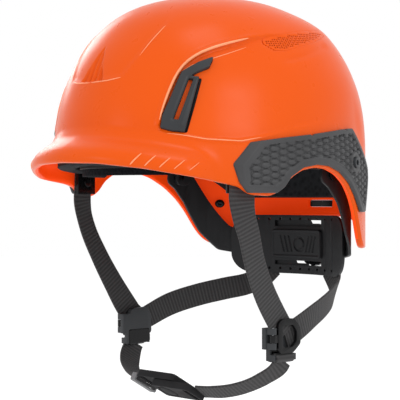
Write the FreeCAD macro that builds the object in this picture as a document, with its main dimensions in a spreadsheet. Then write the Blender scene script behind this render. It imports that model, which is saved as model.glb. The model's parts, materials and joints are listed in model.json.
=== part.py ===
import FreeCAD, Part
import math
import os
from FreeCAD import Matrix, Placement, Rotation, Vector

# Arborist climbing helmet, millimetres. +Z is up, the helmet faces -Y and the wearer's left is +X.
# The origin is the centre of the head's seat, level with the lower edge of the side panels' arches.

DIMENSIONS = {
    "head_half_width": 105,     # outside of the shell, at the level of the origin
    "head_half_length": 126,
    "crown_height": 149,
    "crown_exponent": 2.65,     # superellipse exponent of the dome's upright sections
    "dome_centre_y": 1,
    "skirt_depth": 60,
    "shell_wall": 3,
    "layer_gap": 0.4,
    "liner_depth": 14,
    "liner_joint": 0.6,
    "brim_half_width": 98,
    "brim_half_length": 143,
    "brim_depth": 4,
    "panel_depth": 2.5,
    "frame_proud": 0.6,
    "frame_depth": 3.7,
    "slot_width": 26,
    "slot_height": 5.5,
    "slot_level": -5.5,
    "socket_radius": 2,
    "socket_wall": 1.8,
    "socket_length": 5,
    "band_half_width": 84.5,
    "band_half_length": 105,
    "band_depth": 1.5,
    "band_low": 22,
    "band_high": 44,
    "brow_pad_depth": 5,
    "arm_depth": 2,
    "pivot_y": 42,
    "pivot_level": 19,
    "pivot_radius": 2.5,
    "pivot_clearance": 0.05,
    "plate_radius": 109,
    "plate_centre_y": -11,
    "plate_depth": 2.5,
    "plate_half_width": 60,
    "plate_top": -12,
    "plate_bottom": -59,
    "plate_corner": 16,
    "plate_slot_width": 50,
    "housing_half_width": 37,
    "housing_height": 20,
    "housing_front": 94,
    "housing_back": 109.5,
    "cover_depth": 3.4,
    "channel_front": 103.5,
    "channel_height": 17,
    "channel_half_width": 35.5,
    "knob_level": -36,
    "knob_radius": 17,
    "knob_front": 113.4,
    "knob_back": 119.6,
    "shaft_radius": 2.5,
    "shaft_clearance": 0.05,
    "pinion_teeth": 10,
    "pinion_pitch_radius": 5,
    "gear_width": 3.8,
    "gear_front": 104.2,
    "rack_inner_end": 20,
    "rack_outer_end": 34,
    "webbing_width": 20,
    "webbing_depth": 1.6,
    "divider_x": 80,
    "divider_y": -5,
    "divider_level": -95,
    "divider_size": 21,
    "divider_depth": 3.6,
    "cam_pin_radius": 1,
    "bar_y": -7,
    "bar_level": -110.4,
    "bar_radius": 1.5,
    "buckle_y": -40,
    "buckle_level": -135,
    "buckle_tilt": -30,
    "buckle_width": 22,
}

doc = FreeCAD.newDocument("arborist_helmet")
sheet = doc.addObject("Spreadsheet::Sheet", "Dims")
for line, (alias, value) in enumerate(DIMENSIONS.items(), start=1):
    sheet.set(f"A{line}", alias)
    sheet.set(f"B{line}", str(value))
    sheet.setAlias(f"B{line}", alias)
doc.recompute()

SIDES = {"left": 1, "right": -1}
X_AXIS = Vector(1, 0, 0)
Y_AXIS = Vector(0, 1, 0)
Z_AXIS = Vector(0, 0, 1)
ORIGIN = Vector(0, 0, 0)
nodes = {}


def size(alias):
    """A driving dimension, read from the sheet."""
    return float(sheet.get(alias))


# ---------------------------------------------------------------- document helpers


def keep(obj, name):
    """Registers a document object as the sub-part called name."""
    obj.Label = name
    nodes[name] = obj
    return obj


def feature(name, shape):
    """A sub-part whose free-form shape is made by code."""
    obj = doc.addObject("Part::Feature", name)
    obj.Shape = shape
    return keep(obj, name)


def primitive(kind, name, place, **sizes):
    """A Part primitive with each size bound to an expression of the sheet."""
    obj = doc.addObject(f"Part::{kind}", name)
    for prop, expression in sizes.items():
        obj.setExpression(prop, expression)
    obj.Placement = place
    return obj


def at(x, y, z, axis=Z_AXIS, angle=0):
    return Placement(Vector(x, y, z), Rotation(axis, angle))


def along_y(x, y, z):
    """Placement that turns a cylinder's axis from +Z to +Y."""
    return Placement(Vector(x, y, z), Rotation(Z_AXIS, Y_AXIS))


def along_x(x, y, z):
    """Placement that turns a cylinder's axis from +Z to +X."""
    return Placement(Vector(x, y, z), Rotation(Z_AXIS, X_AXIS))


def cut(name, base, *tools):
    """Base minus its tools, as a chain of Part::Cut features."""
    for number, tool in enumerate(tools):
        obj = doc.addObject("Part::Cut", f"{name}_cut{number}")
        obj.Base = base
        obj.Tool = tool
        base = obj
    return base


def fuse(name, *parts):
    obj = doc.addObject("Part::MultiFuse", f"{name}_fuse")
    obj.Shapes = list(parts)
    return obj


def rounded(name, base, radius, edge_test):
    """Base with a fillet on each edge that edge_test accepts."""
    doc.recompute()
    obj = doc.addObject("Part::Fillet", f"{name}_round")
    obj.Base = base
    picked = [i for i, edge in enumerate(base.Shape.Edges, start=1) if edge_test(edge)]
    obj.Edges = [(i, radius, radius) for i in picked]
    return obj


def runs_along(axis):
    """Accepts the straight edges that run along axis."""
    def test(edge):
        first, last = edge.Vertexes[0].Point, edge.Vertexes[-1].Point
        span = last.sub(first)
        return span.Length > 1 and abs(abs(span.normalize().dot(axis)) - 1) < 1e-6
    return test


def mirrored(shape):
    """The other side's copy of a shape."""
    return shape.mirror(ORIGIN, X_AXIS)


def both_sides(name, left_shape):
    """The left and right sub-parts of a mirrored pair."""
    feature(f"{name}_left", left_shape)
    feature(f"{name}_right", mirrored(left_shape))


# ---------------------------------------------------------------- free-form helpers


def dome(offset, top_offset=None):
    """Solid head form grown by offset: a superellipse crown on a straight skirt, scaled to an oval."""
    top_offset = offset if top_offset is None else top_offset
    power = 2 / size("crown_exponent")
    steps = 12
    angles = [math.pi / 2 * i / steps for i in range(steps + 1)]
    points = [Vector(math.cos(a) ** power, 0, math.sin(a) ** power) for a in angles]
    points[-1] = Vector(0, 0, 1)
    profile = Part.BSplineCurve()
    profile.interpolate(Points=points)
    depth = -size("skirt_depth") / size("crown_height")
    corner, foot = Vector(1, 0, depth), Vector(0, 0, depth)
    edges = [
        profile.toShape(),
        Part.makeLine(points[-1], foot),
        Part.makeLine(foot, corner),
        Part.makeLine(corner, points[0]),
    ]
    solid = Part.Face(Part.Wire(edges)).revolve(ORIGIN, Z_AXIS, 360)
    grow = Matrix()
    grow.scale(
        size("head_half_width") + offset,
        size("head_half_length") + offset,
        size("crown_height") + top_offset,
    )
    solid = solid.transformGeometry(grow)
    solid.translate(Vector(0, size("dome_centre_y"), 0))
    return solid


def rounded_wire(points, radius):
    """Closed wire through the points of a plane outline, its corners rounded where there is room."""
    edges = []
    count = len(points)
    ends = []
    for i, point in enumerate(points):
        before, after = points[i - 1], points[(i + 1) % count]
        to_before, to_after = before.sub(point), after.sub(point)
        half = to_before.getAngle(to_after) / 2
        room = 0.45 * min(to_before.Length, to_after.Length)
        reach = min(room, radius / math.tan(half)) if half < math.pi / 2 - 0.02 else 0
        if reach < 0.2:
            ends.append((point, point))
            continue
        start = point.add(to_before.normalize().multiply(reach))
        end = point.add(to_after.normalize().multiply(reach))
        bisector = start.add(end).multiply(0.5).sub(point).normalize()
        arc_radius = reach * math.tan(half)
        centre_distance = arc_radius / math.sin(half)
        middle = point.add(bisector.multiply(centre_distance - arc_radius))
        edges.append(Part.Arc(start, middle, end).toShape())
        ends.append((start, end))
    for i in range(count):
        leave, arrive = ends[i][1], ends[(i + 1) % count][0]
        if leave.distanceToPoint(arrive) > 1e-6:
            edges.append(Part.makeLine(leave, arrive))
    return Part.Wire(Part.__sortEdges__(edges))


def side_prism(outline, radius=3, low_x=-130, high_x=130):
    """Prism along X of an outline drawn in the side view as (y, z) points."""
    wire = rounded_wire([Vector(low_x, y, z) for y, z in outline], radius)
    return Part.Face(wire).extrude(Vector(high_x - low_x, 0, 0))


def oval_prism(half_width, half_length, low, high, centre_y=0):
    """Upright prism on an oval."""
    oval = Part.Ellipse(Vector(0, centre_y, low), half_length, half_width)
    edge = oval.toShape()
    edge.rotate(Vector(0, centre_y, low), Z_AXIS, 90)
    return Part.Face(Part.Wire(edge)).extrude(Vector(0, 0, high - low))


def oval_band(half_width, half_length, depth, low, high):
    """Upright oval band that is depth thick inwards from its outline."""
    outer = oval_prism(half_width, half_length, low, high)
    return outer.cut(oval_prism(half_width - depth, half_length - depth, low - 1, high + 1))


def ribbon(stations, width, depth):
    """Webbing lofted through stations, each a centre point, a width direction and a face direction."""
    wires = []
    for centre, across, outward in stations:
        across = Vector(across).normalize()
        outward = Vector(outward)
        outward = outward.sub(Vector(across).multiply(outward.dot(across))).normalize()
        half_width = Vector(across).multiply(width / 2)
        half_depth = Vector(outward).multiply(depth / 2)
        centre = Vector(centre)
        corners = [
            centre.add(half_width).add(half_depth),
            centre.sub(half_width).add(half_depth),
            centre.sub(half_width).sub(half_depth),
            centre.add(half_width).sub(half_depth),
        ]
        wires.append(Part.makePolygon(corners + corners[:1]))
    return Part.makeLoft(wires, True, False)


# ---------------------------------------------------------------- shell, liner and trim

# Side-view outlines as (y, z) points, read from the front of the helmet to its nape.
RIM = [
    (-140, 25), (-92, 15.5), (-70, 11), (-62, 5), (-38, 4), (-26, 16), (-14, 23), (2, 25), (20, 22),
    (36, 14), (50, 4), (62, -12), (74, -31), (83, -37), (97, -37), (105, -27), (112, -16), (135, -11.5),
]
PANEL = [
    (-75, 24.5), (-61, 38.4), (-27, 42.4), (28, 49.5), (47, 51.4), (80, 24), (81, 16), (70, -9), (61, -8),
    (47, 9.5), (32, 18.5), (14, 25.4), (-6, 27), (-17, 24.6), (-26, 17.7), (-35, 4.7), (-61, 4.7), (-72, 12),
]
# Vent opening in a vertical plane at 45 degrees to the front, as (across, up) points.
VENT = [
    (-31, 49), (-29.5, 57), (-24.5, 68), (-19.5, 80), (-17, 86), (-6, 93), (5, 97.5), (2, 90),
    (-3, 83), (-13.4, 45), (-27.5, 46.5),
]
VENT_SLOT = [(-21.5, 54), (-17.7, 54), (-8.3, 81.5), (-11.8, 81.5)]
SCOOP_SLATS_X = (-7, 0, 7)
SCOOP_SLAT_WIDTH = 3
SCOOP_LOW, SCOOP_HIGH = 84, 99


def vent_prism(outline, radius):
    """Prism through the shell's left front quarter, along the horizontal line at 45 degrees."""
    across = Vector(1, 1, 0).normalize()
    inward = Vector(-1, 1, 0).normalize()
    far_out = inward * -140
    points = [far_out + across * u + Z_AXIS * v for u, v in outline]
    return Part.Face(rounded_wire(points, radius)).extrude(inward * 100)


def brim_solid(hollow):
    """Sloping brim plate round the front of the head, flush with the shell's inside."""
    slope_start, slope_end = (-150, 27.5), (-56, 9)
    depth = size("brim_depth")
    low = [slope_start, slope_end]
    high = [(y, z + depth) for y, z in reversed(low)]
    band = side_prism(low + high, radius=0.1)
    plan = oval_prism(size("brim_half_width"), size("brim_half_length"), 0, 60)
    return band.common(plan).cut(hollow)


def make_shell():
    hollow = dome(-size("shell_wall"))
    above_rim = RIM + [(135, 170), (-140, 170)]
    shell = dome(0).cut(hollow).common(side_prism(above_rim, 4))
    shell = shell.fuse(brim_solid(hollow))
    window = vent_prism(VENT, 1.5)
    shell = shell.cut(window).cut(mirrored(window))
    slot_width, slot_height = size("slot_width"), size("slot_height")
    slot = Part.makeBox(slot_width, 60, slot_height, Vector(-slot_width / 2, 90, size("slot_level")))
    shell = shell.cut(slot)
    for x in SCOOP_SLATS_X:
        corner = Vector(x - SCOOP_SLAT_WIDTH / 2, -140, SCOOP_LOW)
        shell = shell.cut(Part.makeBox(SCOOP_SLAT_WIDTH, 60, SCOOP_HIGH - SCOOP_LOW, corner))
    feature("outer_shell", shell.removeSplitter())


def make_liner():
    outside = -size("shell_wall") - size("layer_gap")
    inside = outside - size("liner_depth")
    outline = [
        (-140, 27), (-60, 21), (-38, 29), (60, 30), (84, 14), (90, 3.2), (135, 3.2), (135, 170), (-140, 170),
    ]
    liner = dome(outside).cut(dome(inside)).common(side_prism(outline, 4))
    duct = vent_prism([(-25, 52), (-14, 52), (-7, 84), (-16, 84)], 2)
    liner = liner.cut(duct).cut(mirrored(duct))
    # The foam is moulded as four blocks, with a narrow joint along the middle and one across it.
    joint = size("liner_joint")
    for length, width, corner in ((joint, 300, (-joint / 2, -150, -10)), (300, joint, (-150, 8, -10))):
        liner = liner.cut(Part.makeBox(length, width, 200, Vector(*corner)))
    feature("impact_liner", liner)


def make_panels():
    gap = size("layer_gap")
    layer = dome(gap + size("panel_depth")).cut(dome(gap))
    both_sides("side_panel", layer.common(side_prism(PANEL, 3, 0, 130)).cut(socket_hole(5)))


def socket_frame():
    """Point on the left panel and the outward level direction at the accessory socket."""
    phi = math.radians(112)
    proud = size("panel_depth") + size("layer_gap")
    point = Vector(
        (size("head_half_width") + proud) * math.sin(phi),
        size("dome_centre_y") - (size("head_half_length") + proud) * math.cos(phi),
        27,
    )
    outward = Vector(
        math.sin(phi) / size("head_half_width"), -math.cos(phi) / size("head_half_length"), 0
    )
    return point, outward.normalize()


def socket_hole(extra):
    """Cylinder of the socket's outer radius, for the hole that it sits in."""
    point, outward = socket_frame()
    radius = size("socket_radius") + size("socket_wall") + 0.1
    start = point - outward * (size("socket_length") / 2 + extra)
    return Part.makeCylinder(radius, size("socket_length") + 2 * extra, start, outward)


def make_sockets():
    """Ringed accessory sockets at the rear of the panels, one each side."""
    point, outward = socket_frame()
    start = point - outward * (size("panel_depth") + size("layer_gap") - 0.2)
    length = size("panel_depth") + size("layer_gap") + 0.8
    outer = Part.makeCylinder(size("socket_radius") + size("socket_wall"), length, start, outward)
    ring = outer.cut(Part.makeCylinder(size("socket_radius"), length + 2, start - outward, outward))
    ring = ring.cut(dome(0.2))
    both_sides("accessory_socket", ring)


def make_vent_frames():
    layer = dome(size("frame_proud")).cut(dome(size("frame_proud") - size("frame_depth")))
    window = vent_prism(VENT, 1.5)
    both_sides("vent_frame", layer.common(window).cut(vent_prism(VENT_SLOT, 1)))


# ---------------------------------------------------------------- headband and nape cradle


def make_headband():
    low, high = size("band_low"), size("band_high")
    band = oval_band(size("band_half_width"), size("band_half_length"), size("band_depth"), low, high)
    front_half = Part.makeBox(300, 186, 100, Vector(-150, -150, 0))
    band = band.common(front_half)
    feature("headband", band)
    gap = size("band_depth") + 0.3
    pad = oval_band(
        size("band_half_width") - gap, size("band_half_length") - gap, size("brow_pad_depth"), low - 5, high
    )
    front_part = Part.makeBox(300, 110, 100, Vector(-150, -150, 0))
    feature("brow_pad", pad.common(front_part))


def make_crown_pads():
    """Comfort pads stuck inside the liner: one at the crown and one on each side."""
    outside = -size("shell_wall") - size("layer_gap") * 2 - size("liner_depth")
    layer = dome(outside).cut(dome(outside - 5))
    crown = layer.common(oval_prism(22, 48, 90, 170, 5))
    feature("crown_pad", crown)
    side = layer.common(side_prism([(-30, 66), (40, 66), (34, 92), (-24, 92)], 8, 0, 130))
    both_sides("side_pad", side)


ARM_SIDE = [
    (32, 29), (47, 29), (56, 20), (68, 0), (82, -22), (96, -27), (112, -27), (112, -45),
    (92, -45), (76, -41), (62, -26), (48, -2), (38, 9), (30, 14),
]
# Plan view of an arm's inner face, from the temple to its end at the ratchet housing.
ARM_PLAN = [(82, 28), (82, 40), (81.7, 50), (78, 62), (70, 75.6), (61, 83.3), (50, 89.4), (38.5, 94.4)]


def make_arms():
    inner = [Vector(x, y, -60) for x, y in ARM_PLAN]
    curve = Part.BSplineCurve()
    curve.interpolate(Points=inner)
    edge = curve.toShape()
    outer_curve = Part.BSplineCurve()
    depth = size("arm_depth")
    outer = []
    for point in inner:
        tangent = curve.tangent(curve.parameter(point))[0]
        outer.append(point + Vector(tangent.y, -tangent.x, 0).normalize() * depth)
    outer_curve.interpolate(Points=outer)
    wire = Part.Wire([
        edge,
        Part.makeLine(inner[-1], outer[-1]),
        outer_curve.toShape(),
        Part.makeLine(outer[0], inner[0]),
    ])
    band = Part.Face(wire).extrude(Vector(0, 0, 120))
    arm = band.common(side_prism(ARM_SIDE, 6, 0, 130))
    bore_radius = size("pivot_radius") + size("pivot_clearance")
    bore = Part.makeCylinder(bore_radius, 20, Vector(75, size("pivot_y"), size("pivot_level")), X_AXIS)
    both_sides("headband_arm", arm.cut(bore))


def make_temple_brackets():
    """Plates that hang the arms' pivot pins from the headband, and the pins with their heads."""
    y, level = size("pivot_y"), size("pivot_level")
    for side, sign in SIDES.items():
        low_x = 78.4 if sign > 0 else -81.4
        plate = primitive("Box", f"bracket_plate_{side}", at(low_x, y - 5.7, level - 7),
                          Length="3 mm", Width="15 mm", Height="17 mm")
        plate = rounded(f"bracket_{side}", plate, 5, runs_along(X_AXIS))
        hole = primitive("Cylinder", f"bracket_hole_{side}", along_x(sign * 80 - 5, y, level),
                         Radius="Dims.pivot_radius + 0.02", Height="10 mm")
        keep(cut(f"bracket_{side}", plate, hole), f"temple_bracket_{side}")
    pins = []
    for sign in SIDES.values():
        shank = Part.makeCylinder(size("pivot_radius"), 8.2, Vector(78.2, y, level), X_AXIS)
        head = Part.makeCylinder(5, 1.6, Vector(84.6, y, level), X_AXIS)
        pin = shank.fuse(head)
        pins.append(pin if sign > 0 else mirrored(pin))
    feature("arm_pivot_pins", Part.makeCompound(pins))


def plate_arc(low_radius, high_radius, low, high):
    """Upright ring about the nape plate's centre of curvature."""
    centre = Vector(0, size("plate_centre_y"), low)
    outer = Part.makeCylinder(high_radius, high - low, centre)
    return outer.cut(Part.makeCylinder(low_radius, high - low, centre))


def make_nape_plate():
    low, high = size("plate_bottom"), size("plate_top")
    half = size("plate_half_width")
    radius = size("plate_radius")
    ring = plate_arc(radius, radius + size("plate_depth"), low, high)
    frame = [Vector(-half, 60, low), Vector(half, 60, low), Vector(half, 60, high), Vector(-half, 60, high)]
    plate = ring.common(Part.Face(rounded_wire(frame, size("plate_corner"))).extrude(Y_AXIS * 60))
    slot_width = size("plate_slot_width")
    for level, height in ((-21, 5), (-52, 3.5)):
        plate = plate.cut(Part.makeBox(slot_width, 60, height, Vector(-slot_width / 2, 60, level)))
    hole_level_low, hole_level_high = low + 4, high - 3
    for x in range(-40, 41, 10):
        for level in (hole_level_low, hole_level_high):
            plate = plate.cut(Part.makeCylinder(1.1, 60, Vector(x, 60, level), Y_AXIS))
    feature("nape_plate", plate)
    recess = Vector(-27, 60, -46), Vector(27, 60, -46), Vector(27, 60, -23.5), Vector(-27, 60, -23.5)
    badge = plate_arc(radius - 1.6, radius - 0.1, -50, -20)
    badge = badge.common(Part.Face(rounded_wire(list(recess), 3)).extrude(Y_AXIS * 60))
    feature("nape_insert", badge)


def make_housing():
    half = "Dims.housing_half_width"
    level = size("knob_level")
    low = level - size("housing_height") / 2
    front, back = size("housing_front"), size("housing_back")
    shell = primitive("Box", "housing_block", at(-size("housing_half_width"), front, low),
                      Length=f"2 * {half}", Width="Dims.housing_back - Dims.housing_front",
                      Height="Dims.housing_height")
    shell = rounded("housing", shell, 6, runs_along(Y_AXIS))
    nape = primitive("Cylinder", "housing_nape", at(0, size("plate_centre_y"), low - 5),
                     Radius="Dims.plate_radius + Dims.plate_depth + Dims.layer_gap", Height="40 mm")
    channel = primitive("Box", "housing_channel",
                        at(-size("channel_half_width"), size("channel_front"), level - size("channel_height") / 2),
                        Length="2 * Dims.channel_half_width", Width="30 mm", Height="Dims.channel_height")
    keep(cut("housing", shell, nape, channel), "ratchet_housing")
    cover = primitive("Box", "cover_block", at(-size("housing_half_width"), back + 0.1, low),
                      Length=f"2 * {half}", Width="Dims.cover_depth", Height="Dims.housing_height")
    cover = rounded("cover", cover, 6, runs_along(Y_AXIS))
    bore = primitive("Cylinder", "cover_bore", along_y(0, back - 1, level),
                     Radius="Dims.shaft_radius + Dims.shaft_clearance", Height="10 mm")
    screw_seats = []
    screws = []
    for x in (-30, 30):
        seat = primitive("Cylinder", f"cover_seat_{x + 30}", along_y(x, back - 1, level),
                         Radius="1.6 mm", Height="10 mm")
        screw_seats.append(seat)
        head = Part.makeCylinder(1.55, size("cover_depth"), Vector(x, back + 0.2, level), Y_AXIS)
        recess = Part.makeBox(2.2, 1, 0.6, Vector(x - 1.1, back + size("cover_depth") - 0.5, level - 0.3))
        screws.append(head.cut(recess))
    keep(cut("cover", cover, bore, *screw_seats), "ratchet_cover")
    feature("cover_screws", Part.makeCompound(screws))


PRESSURE_ANGLE = math.radians(20)
TOOTH_THICKNESS = 1.44
PINION_ADDENDUM = 0.8
PINION_DEDENDUM = 0.95
RACK_ADDENDUM = 0.5
RACK_DEDENDUM = 1.05


def involute(angle):
    return math.tan(angle) - angle


def make_pinion():
    """Pinion with its shaft: involute teeth that turn both racks."""
    pitch_radius, level = size("pinion_pitch_radius"), size("knob_level")
    count = int(size("pinion_teeth"))
    base_radius = pitch_radius * math.cos(PRESSURE_ANGLE)
    tip, root = pitch_radius + PINION_ADDENDUM, pitch_radius - PINION_DEDENDUM
    half_at_pitch = TOOTH_THICKNESS / 2 / pitch_radius

    def half_angle(radius):
        pressure = math.acos(min(1, base_radius / radius))
        return half_at_pitch + involute(PRESSURE_ANGLE) - involute(pressure)

    flank = [root, base_radius] + [base_radius + (tip - base_radius) * i / 4 for i in range(1, 5)]
    points = []
    for tooth in range(count):
        centre = math.pi / 2 + tooth * 2 * math.pi / count
        side = [(radius, centre - half_angle(max(radius, base_radius))) for radius in flank]
        other = [(radius, 2 * centre - angle) for radius, angle in reversed(side)]
        points += side + other
    front = size("gear_front")
    corners = [Vector(r * math.cos(a), front, level + r * math.sin(a)) for r, a in points]
    wire = Part.makePolygon(corners + corners[:1])
    gear = Part.Face(wire).extrude(Y_AXIS * size("gear_width"))
    shaft_start = Vector(0, front, level)
    shaft = Part.makeCylinder(size("shaft_radius"), size("knob_back") - 2.4 - front, shaft_start, Y_AXIS)
    thread = Part.makeCylinder(1.25, 8, Vector(0, size("knob_back") - 2.4 - 8, level), Y_AXIS)
    feature("pinion", gear.fuse(shaft).removeSplitter().cut(thread))


def make_racks():
    """Toothed ends of the headband's arms: one above the pinion, the other turned half round below it."""
    level = size("knob_level")
    pitch_line = level + size("pinion_pitch_radius")
    pitch = 2 * math.pi * size("pinion_pitch_radius") / size("pinion_teeth")
    inner, outer = -size("rack_inner_end"), size("rack_outer_end")
    slope = math.tan(PRESSURE_ANGLE)
    low_half = TOOTH_THICKNESS / 2 - RACK_ADDENDUM * slope
    high_half = TOOTH_THICKNESS / 2 + RACK_DEDENDUM * slope
    tip, root = pitch_line - RACK_ADDENDUM, pitch_line + RACK_DEDENDUM
    top = level + size("channel_height") / 2 - 0.4
    front = size("gear_front")
    teeth = int((outer - inner) / pitch) - 1
    first = math.ceil(inner / pitch - 0.5) + 1
    points = [(inner, top), (inner, root)]
    for tooth in range(teeth):
        x = (first + tooth - 0.5) * pitch
        points += [(x - high_half, root), (x - low_half, tip), (x + low_half, tip), (x + high_half, root)]
    points += [(outer, root), (outer, top)]
    corners = [Vector(x, front, z) for x, z in points]
    rack = Part.Face(Part.makePolygon(corners + corners[:1])).extrude(Y_AXIS * size("gear_width"))
    feature("size_rack_left", rack)
    other = rack.copy()
    other.rotate(Vector(0, 0, level), Y_AXIS, 180)
    feature("size_rack_right", other)


def make_knob():
    """Cup-shaped adjuster wheel with scalloped grips, its screw and the detent spring inside it."""
    level, front, back = size("knob_level"), size("knob_front"), size("knob_back")
    disc = primitive("Cylinder", "knob_disc", along_y(0, front, level),
                     Radius="Dims.knob_radius", Height="Dims.knob_back - Dims.knob_front")
    cavity_outer = primitive("Cylinder", "knob_cavity", along_y(0, front - 1, level),
                             Radius="Dims.knob_radius - 3", Height="4.4 mm")
    hub = primitive("Cylinder", "knob_hub", along_y(0, front, level), Radius="5 mm", Height="4 mm")
    cavity = cut("knob_ring", cavity_outer, hub)
    bore = primitive("Cylinder", "knob_bore", along_y(0, front - 1, level),
                     Radius="Dims.shaft_radius + 0.01", Height="Dims.knob_back - Dims.knob_front - 1.4")
    seat = primitive("Cylinder", "knob_seat", along_y(0, back - 2.4, level), Radius="3.4 mm", Height="5 mm")
    scallops = []
    count = 14
    reach = size("knob_radius") + 1
    for i in range(count):
        angle = 2 * math.pi * i / count
        x, z = reach * math.cos(angle), level + reach * math.sin(angle)
        scallops.append(primitive("Cylinder", f"knob_scallop{i}", along_y(x, front - 1, z),
                                  Radius="1.9 mm", Height="10 mm"))
    grips = fuse("knob_grips", *scallops)
    keep(cut("knob", disc, cavity, bore, seat, grips), "ratchet_knob")
    head = Part.makeCylinder(3.2, 1.8, Vector(0, back - 2.3, level), Y_AXIS)
    shank = Part.makeCylinder(1.2, 7, Vector(0, back - 9, level), Y_AXIS)
    slot = Part.makeBox(5, 1, 0.8, Vector(-2.5, back - 1.1, level - 0.4))
    feature("knob_screw", head.fuse(shank).cut(slot))
    ring = Part.makeCylinder(12.2, 2.6, Vector(0, front - 0.3, level), Y_AXIS)
    ring = ring.cut(Part.makeCylinder(11.2, 3, Vector(0, front - 0.4, level), Y_AXIS))
    sector = Part.makeBox(30, 10, 12, Vector(-15, front - 1, level + 4))
    pawl = Part.makeBox(2, 2.6, 2, Vector(-1, front - 0.3, level + 11.6))
    feature("detent_spring", ring.common(sector).fuse(pawl))


# ---------------------------------------------------------------- chin strap

FRONT_STRAP = [
    ((86.8, -53, 20), (0.25, 1, 0), (1, -0.25, 0)),
    ((86.9, -53.4, 10), (0.25, 1, 0), (1, -0.25, 0)),
    ((87, -53.8, 0), (0.25, 1, 0), (1, -0.25, 0)),
    ((87.5, -54, -10), (0.18, 1, 0), (1, -0.18, 0)),
    ((88, -53.5, -22), (0, 1, -0.1), (1, 0, 0)),
    ((87, -45, -44), (0, 1, 0.42), (1, 0, 0)),
    ((84, -31, -64), (0, 1, 0.55), (1, 0, 0)),
    ((80.6, -14, -83.4), (0, 1, 0.6), (1, 0, 0)),
]
REAR_STRAP = [
    ((80.6, 7, -92), (0, 0.35, 1), (1, 0, 0)),
    ((78, 26, -84), (0, 0.35, 1), (1, 0.2, 0)),
    ((69, 52, -77), (0, 0.25, 1), (1, 0.6, 0)),
    ((56, 75, -73), (0.05, 0.1, 1), (0.9, 0.9, 0)),
    ((41, 88.5, -70.5), (0.4, 0, 0.9), (0.4, 1, 0)),
    ((30, 93.5, -66), (0.85, -0.1, 0.5), (0.25, 1, 0)),
    ((26, 94.8, -59.6), (1, -0.2, 0.05), (0.2, 1, 0)),
]
LOWER_STRAP = [
    ((80.6, -7, -112.2), (0, 1, 0), (1, 0, 0)),
    ((79.6, -10, -117), (0, 1, -0.1), (1, 0, -0.2)),
    ((72, -19, -125.5), (0, 1, -0.25), (0.7, 0, -0.7)),
    ((58, -27, -132.5), (0, 1, -0.4), (0.35, -0.3, -0.9)),
    ((42, -34, -136), (0, 1, -0.55), (0.1, -0.45, -0.9)),
    ((29.3, -38.5, -136.6), (0, 1, -0.577), (0, -0.5, -0.87)),
]


def make_straps():
    width, depth = size("webbing_width"), size("webbing_depth")
    both_sides("front_strap", ribbon(FRONT_STRAP, width, depth))
    both_sides("rear_strap", ribbon(REAR_STRAP, width - 2, depth))
    both_sides("chin_strap", ribbon(LOWER_STRAP, width - 2, depth).fuse(strap_loop()).removeSplitter())


def bar_cylinder(radius, half_length):
    """Cylinder on the axis of the divider's lower bar, which carries the chin strap's loop."""
    start = Vector(size("divider_x") + 0.6, size("bar_y") - half_length, size("bar_level"))
    return Part.makeCylinder(radius, 2 * half_length, start, Y_AXIS)


def strap_loop():
    """End of the chin strap, sewn round the divider's lower bar."""
    inside = size("bar_radius") + 0.3
    half = size("webbing_width") / 2 - 1
    return bar_cylinder(inside + size("webbing_depth"), half).cut(bar_cylinder(inside, half + 1))


def make_strap_anchors():
    """Plates that clamp the front straps inside the shell's temples, with their rivets."""
    turn = -math.degrees(math.atan(0.25))
    place = Placement(Vector(86.9, -53.5, 0), Rotation(Z_AXIS, turn))
    plate = Part.makeBox(2.2, 21, 16, Vector(-4, -10.5, 4.5))
    plate = plate.cut(Part.makeCylinder(2.05, 10, Vector(-8, 0, 14), X_AXIS))
    plate.Placement = place
    both_sides("strap_anchor", plate)
    shank = Part.makeCylinder(2, 2.9, Vector(-4.9, 0, 14), X_AXIS)
    head = Part.makeCylinder(4, 1.2, Vector(-5.3, 0, 14), X_AXIS)
    rivet = shank.fuse(head)
    rivet.Placement = place
    feature("anchor_rivets", Part.makeCompound([rivet, mirrored(rivet)]))


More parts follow.
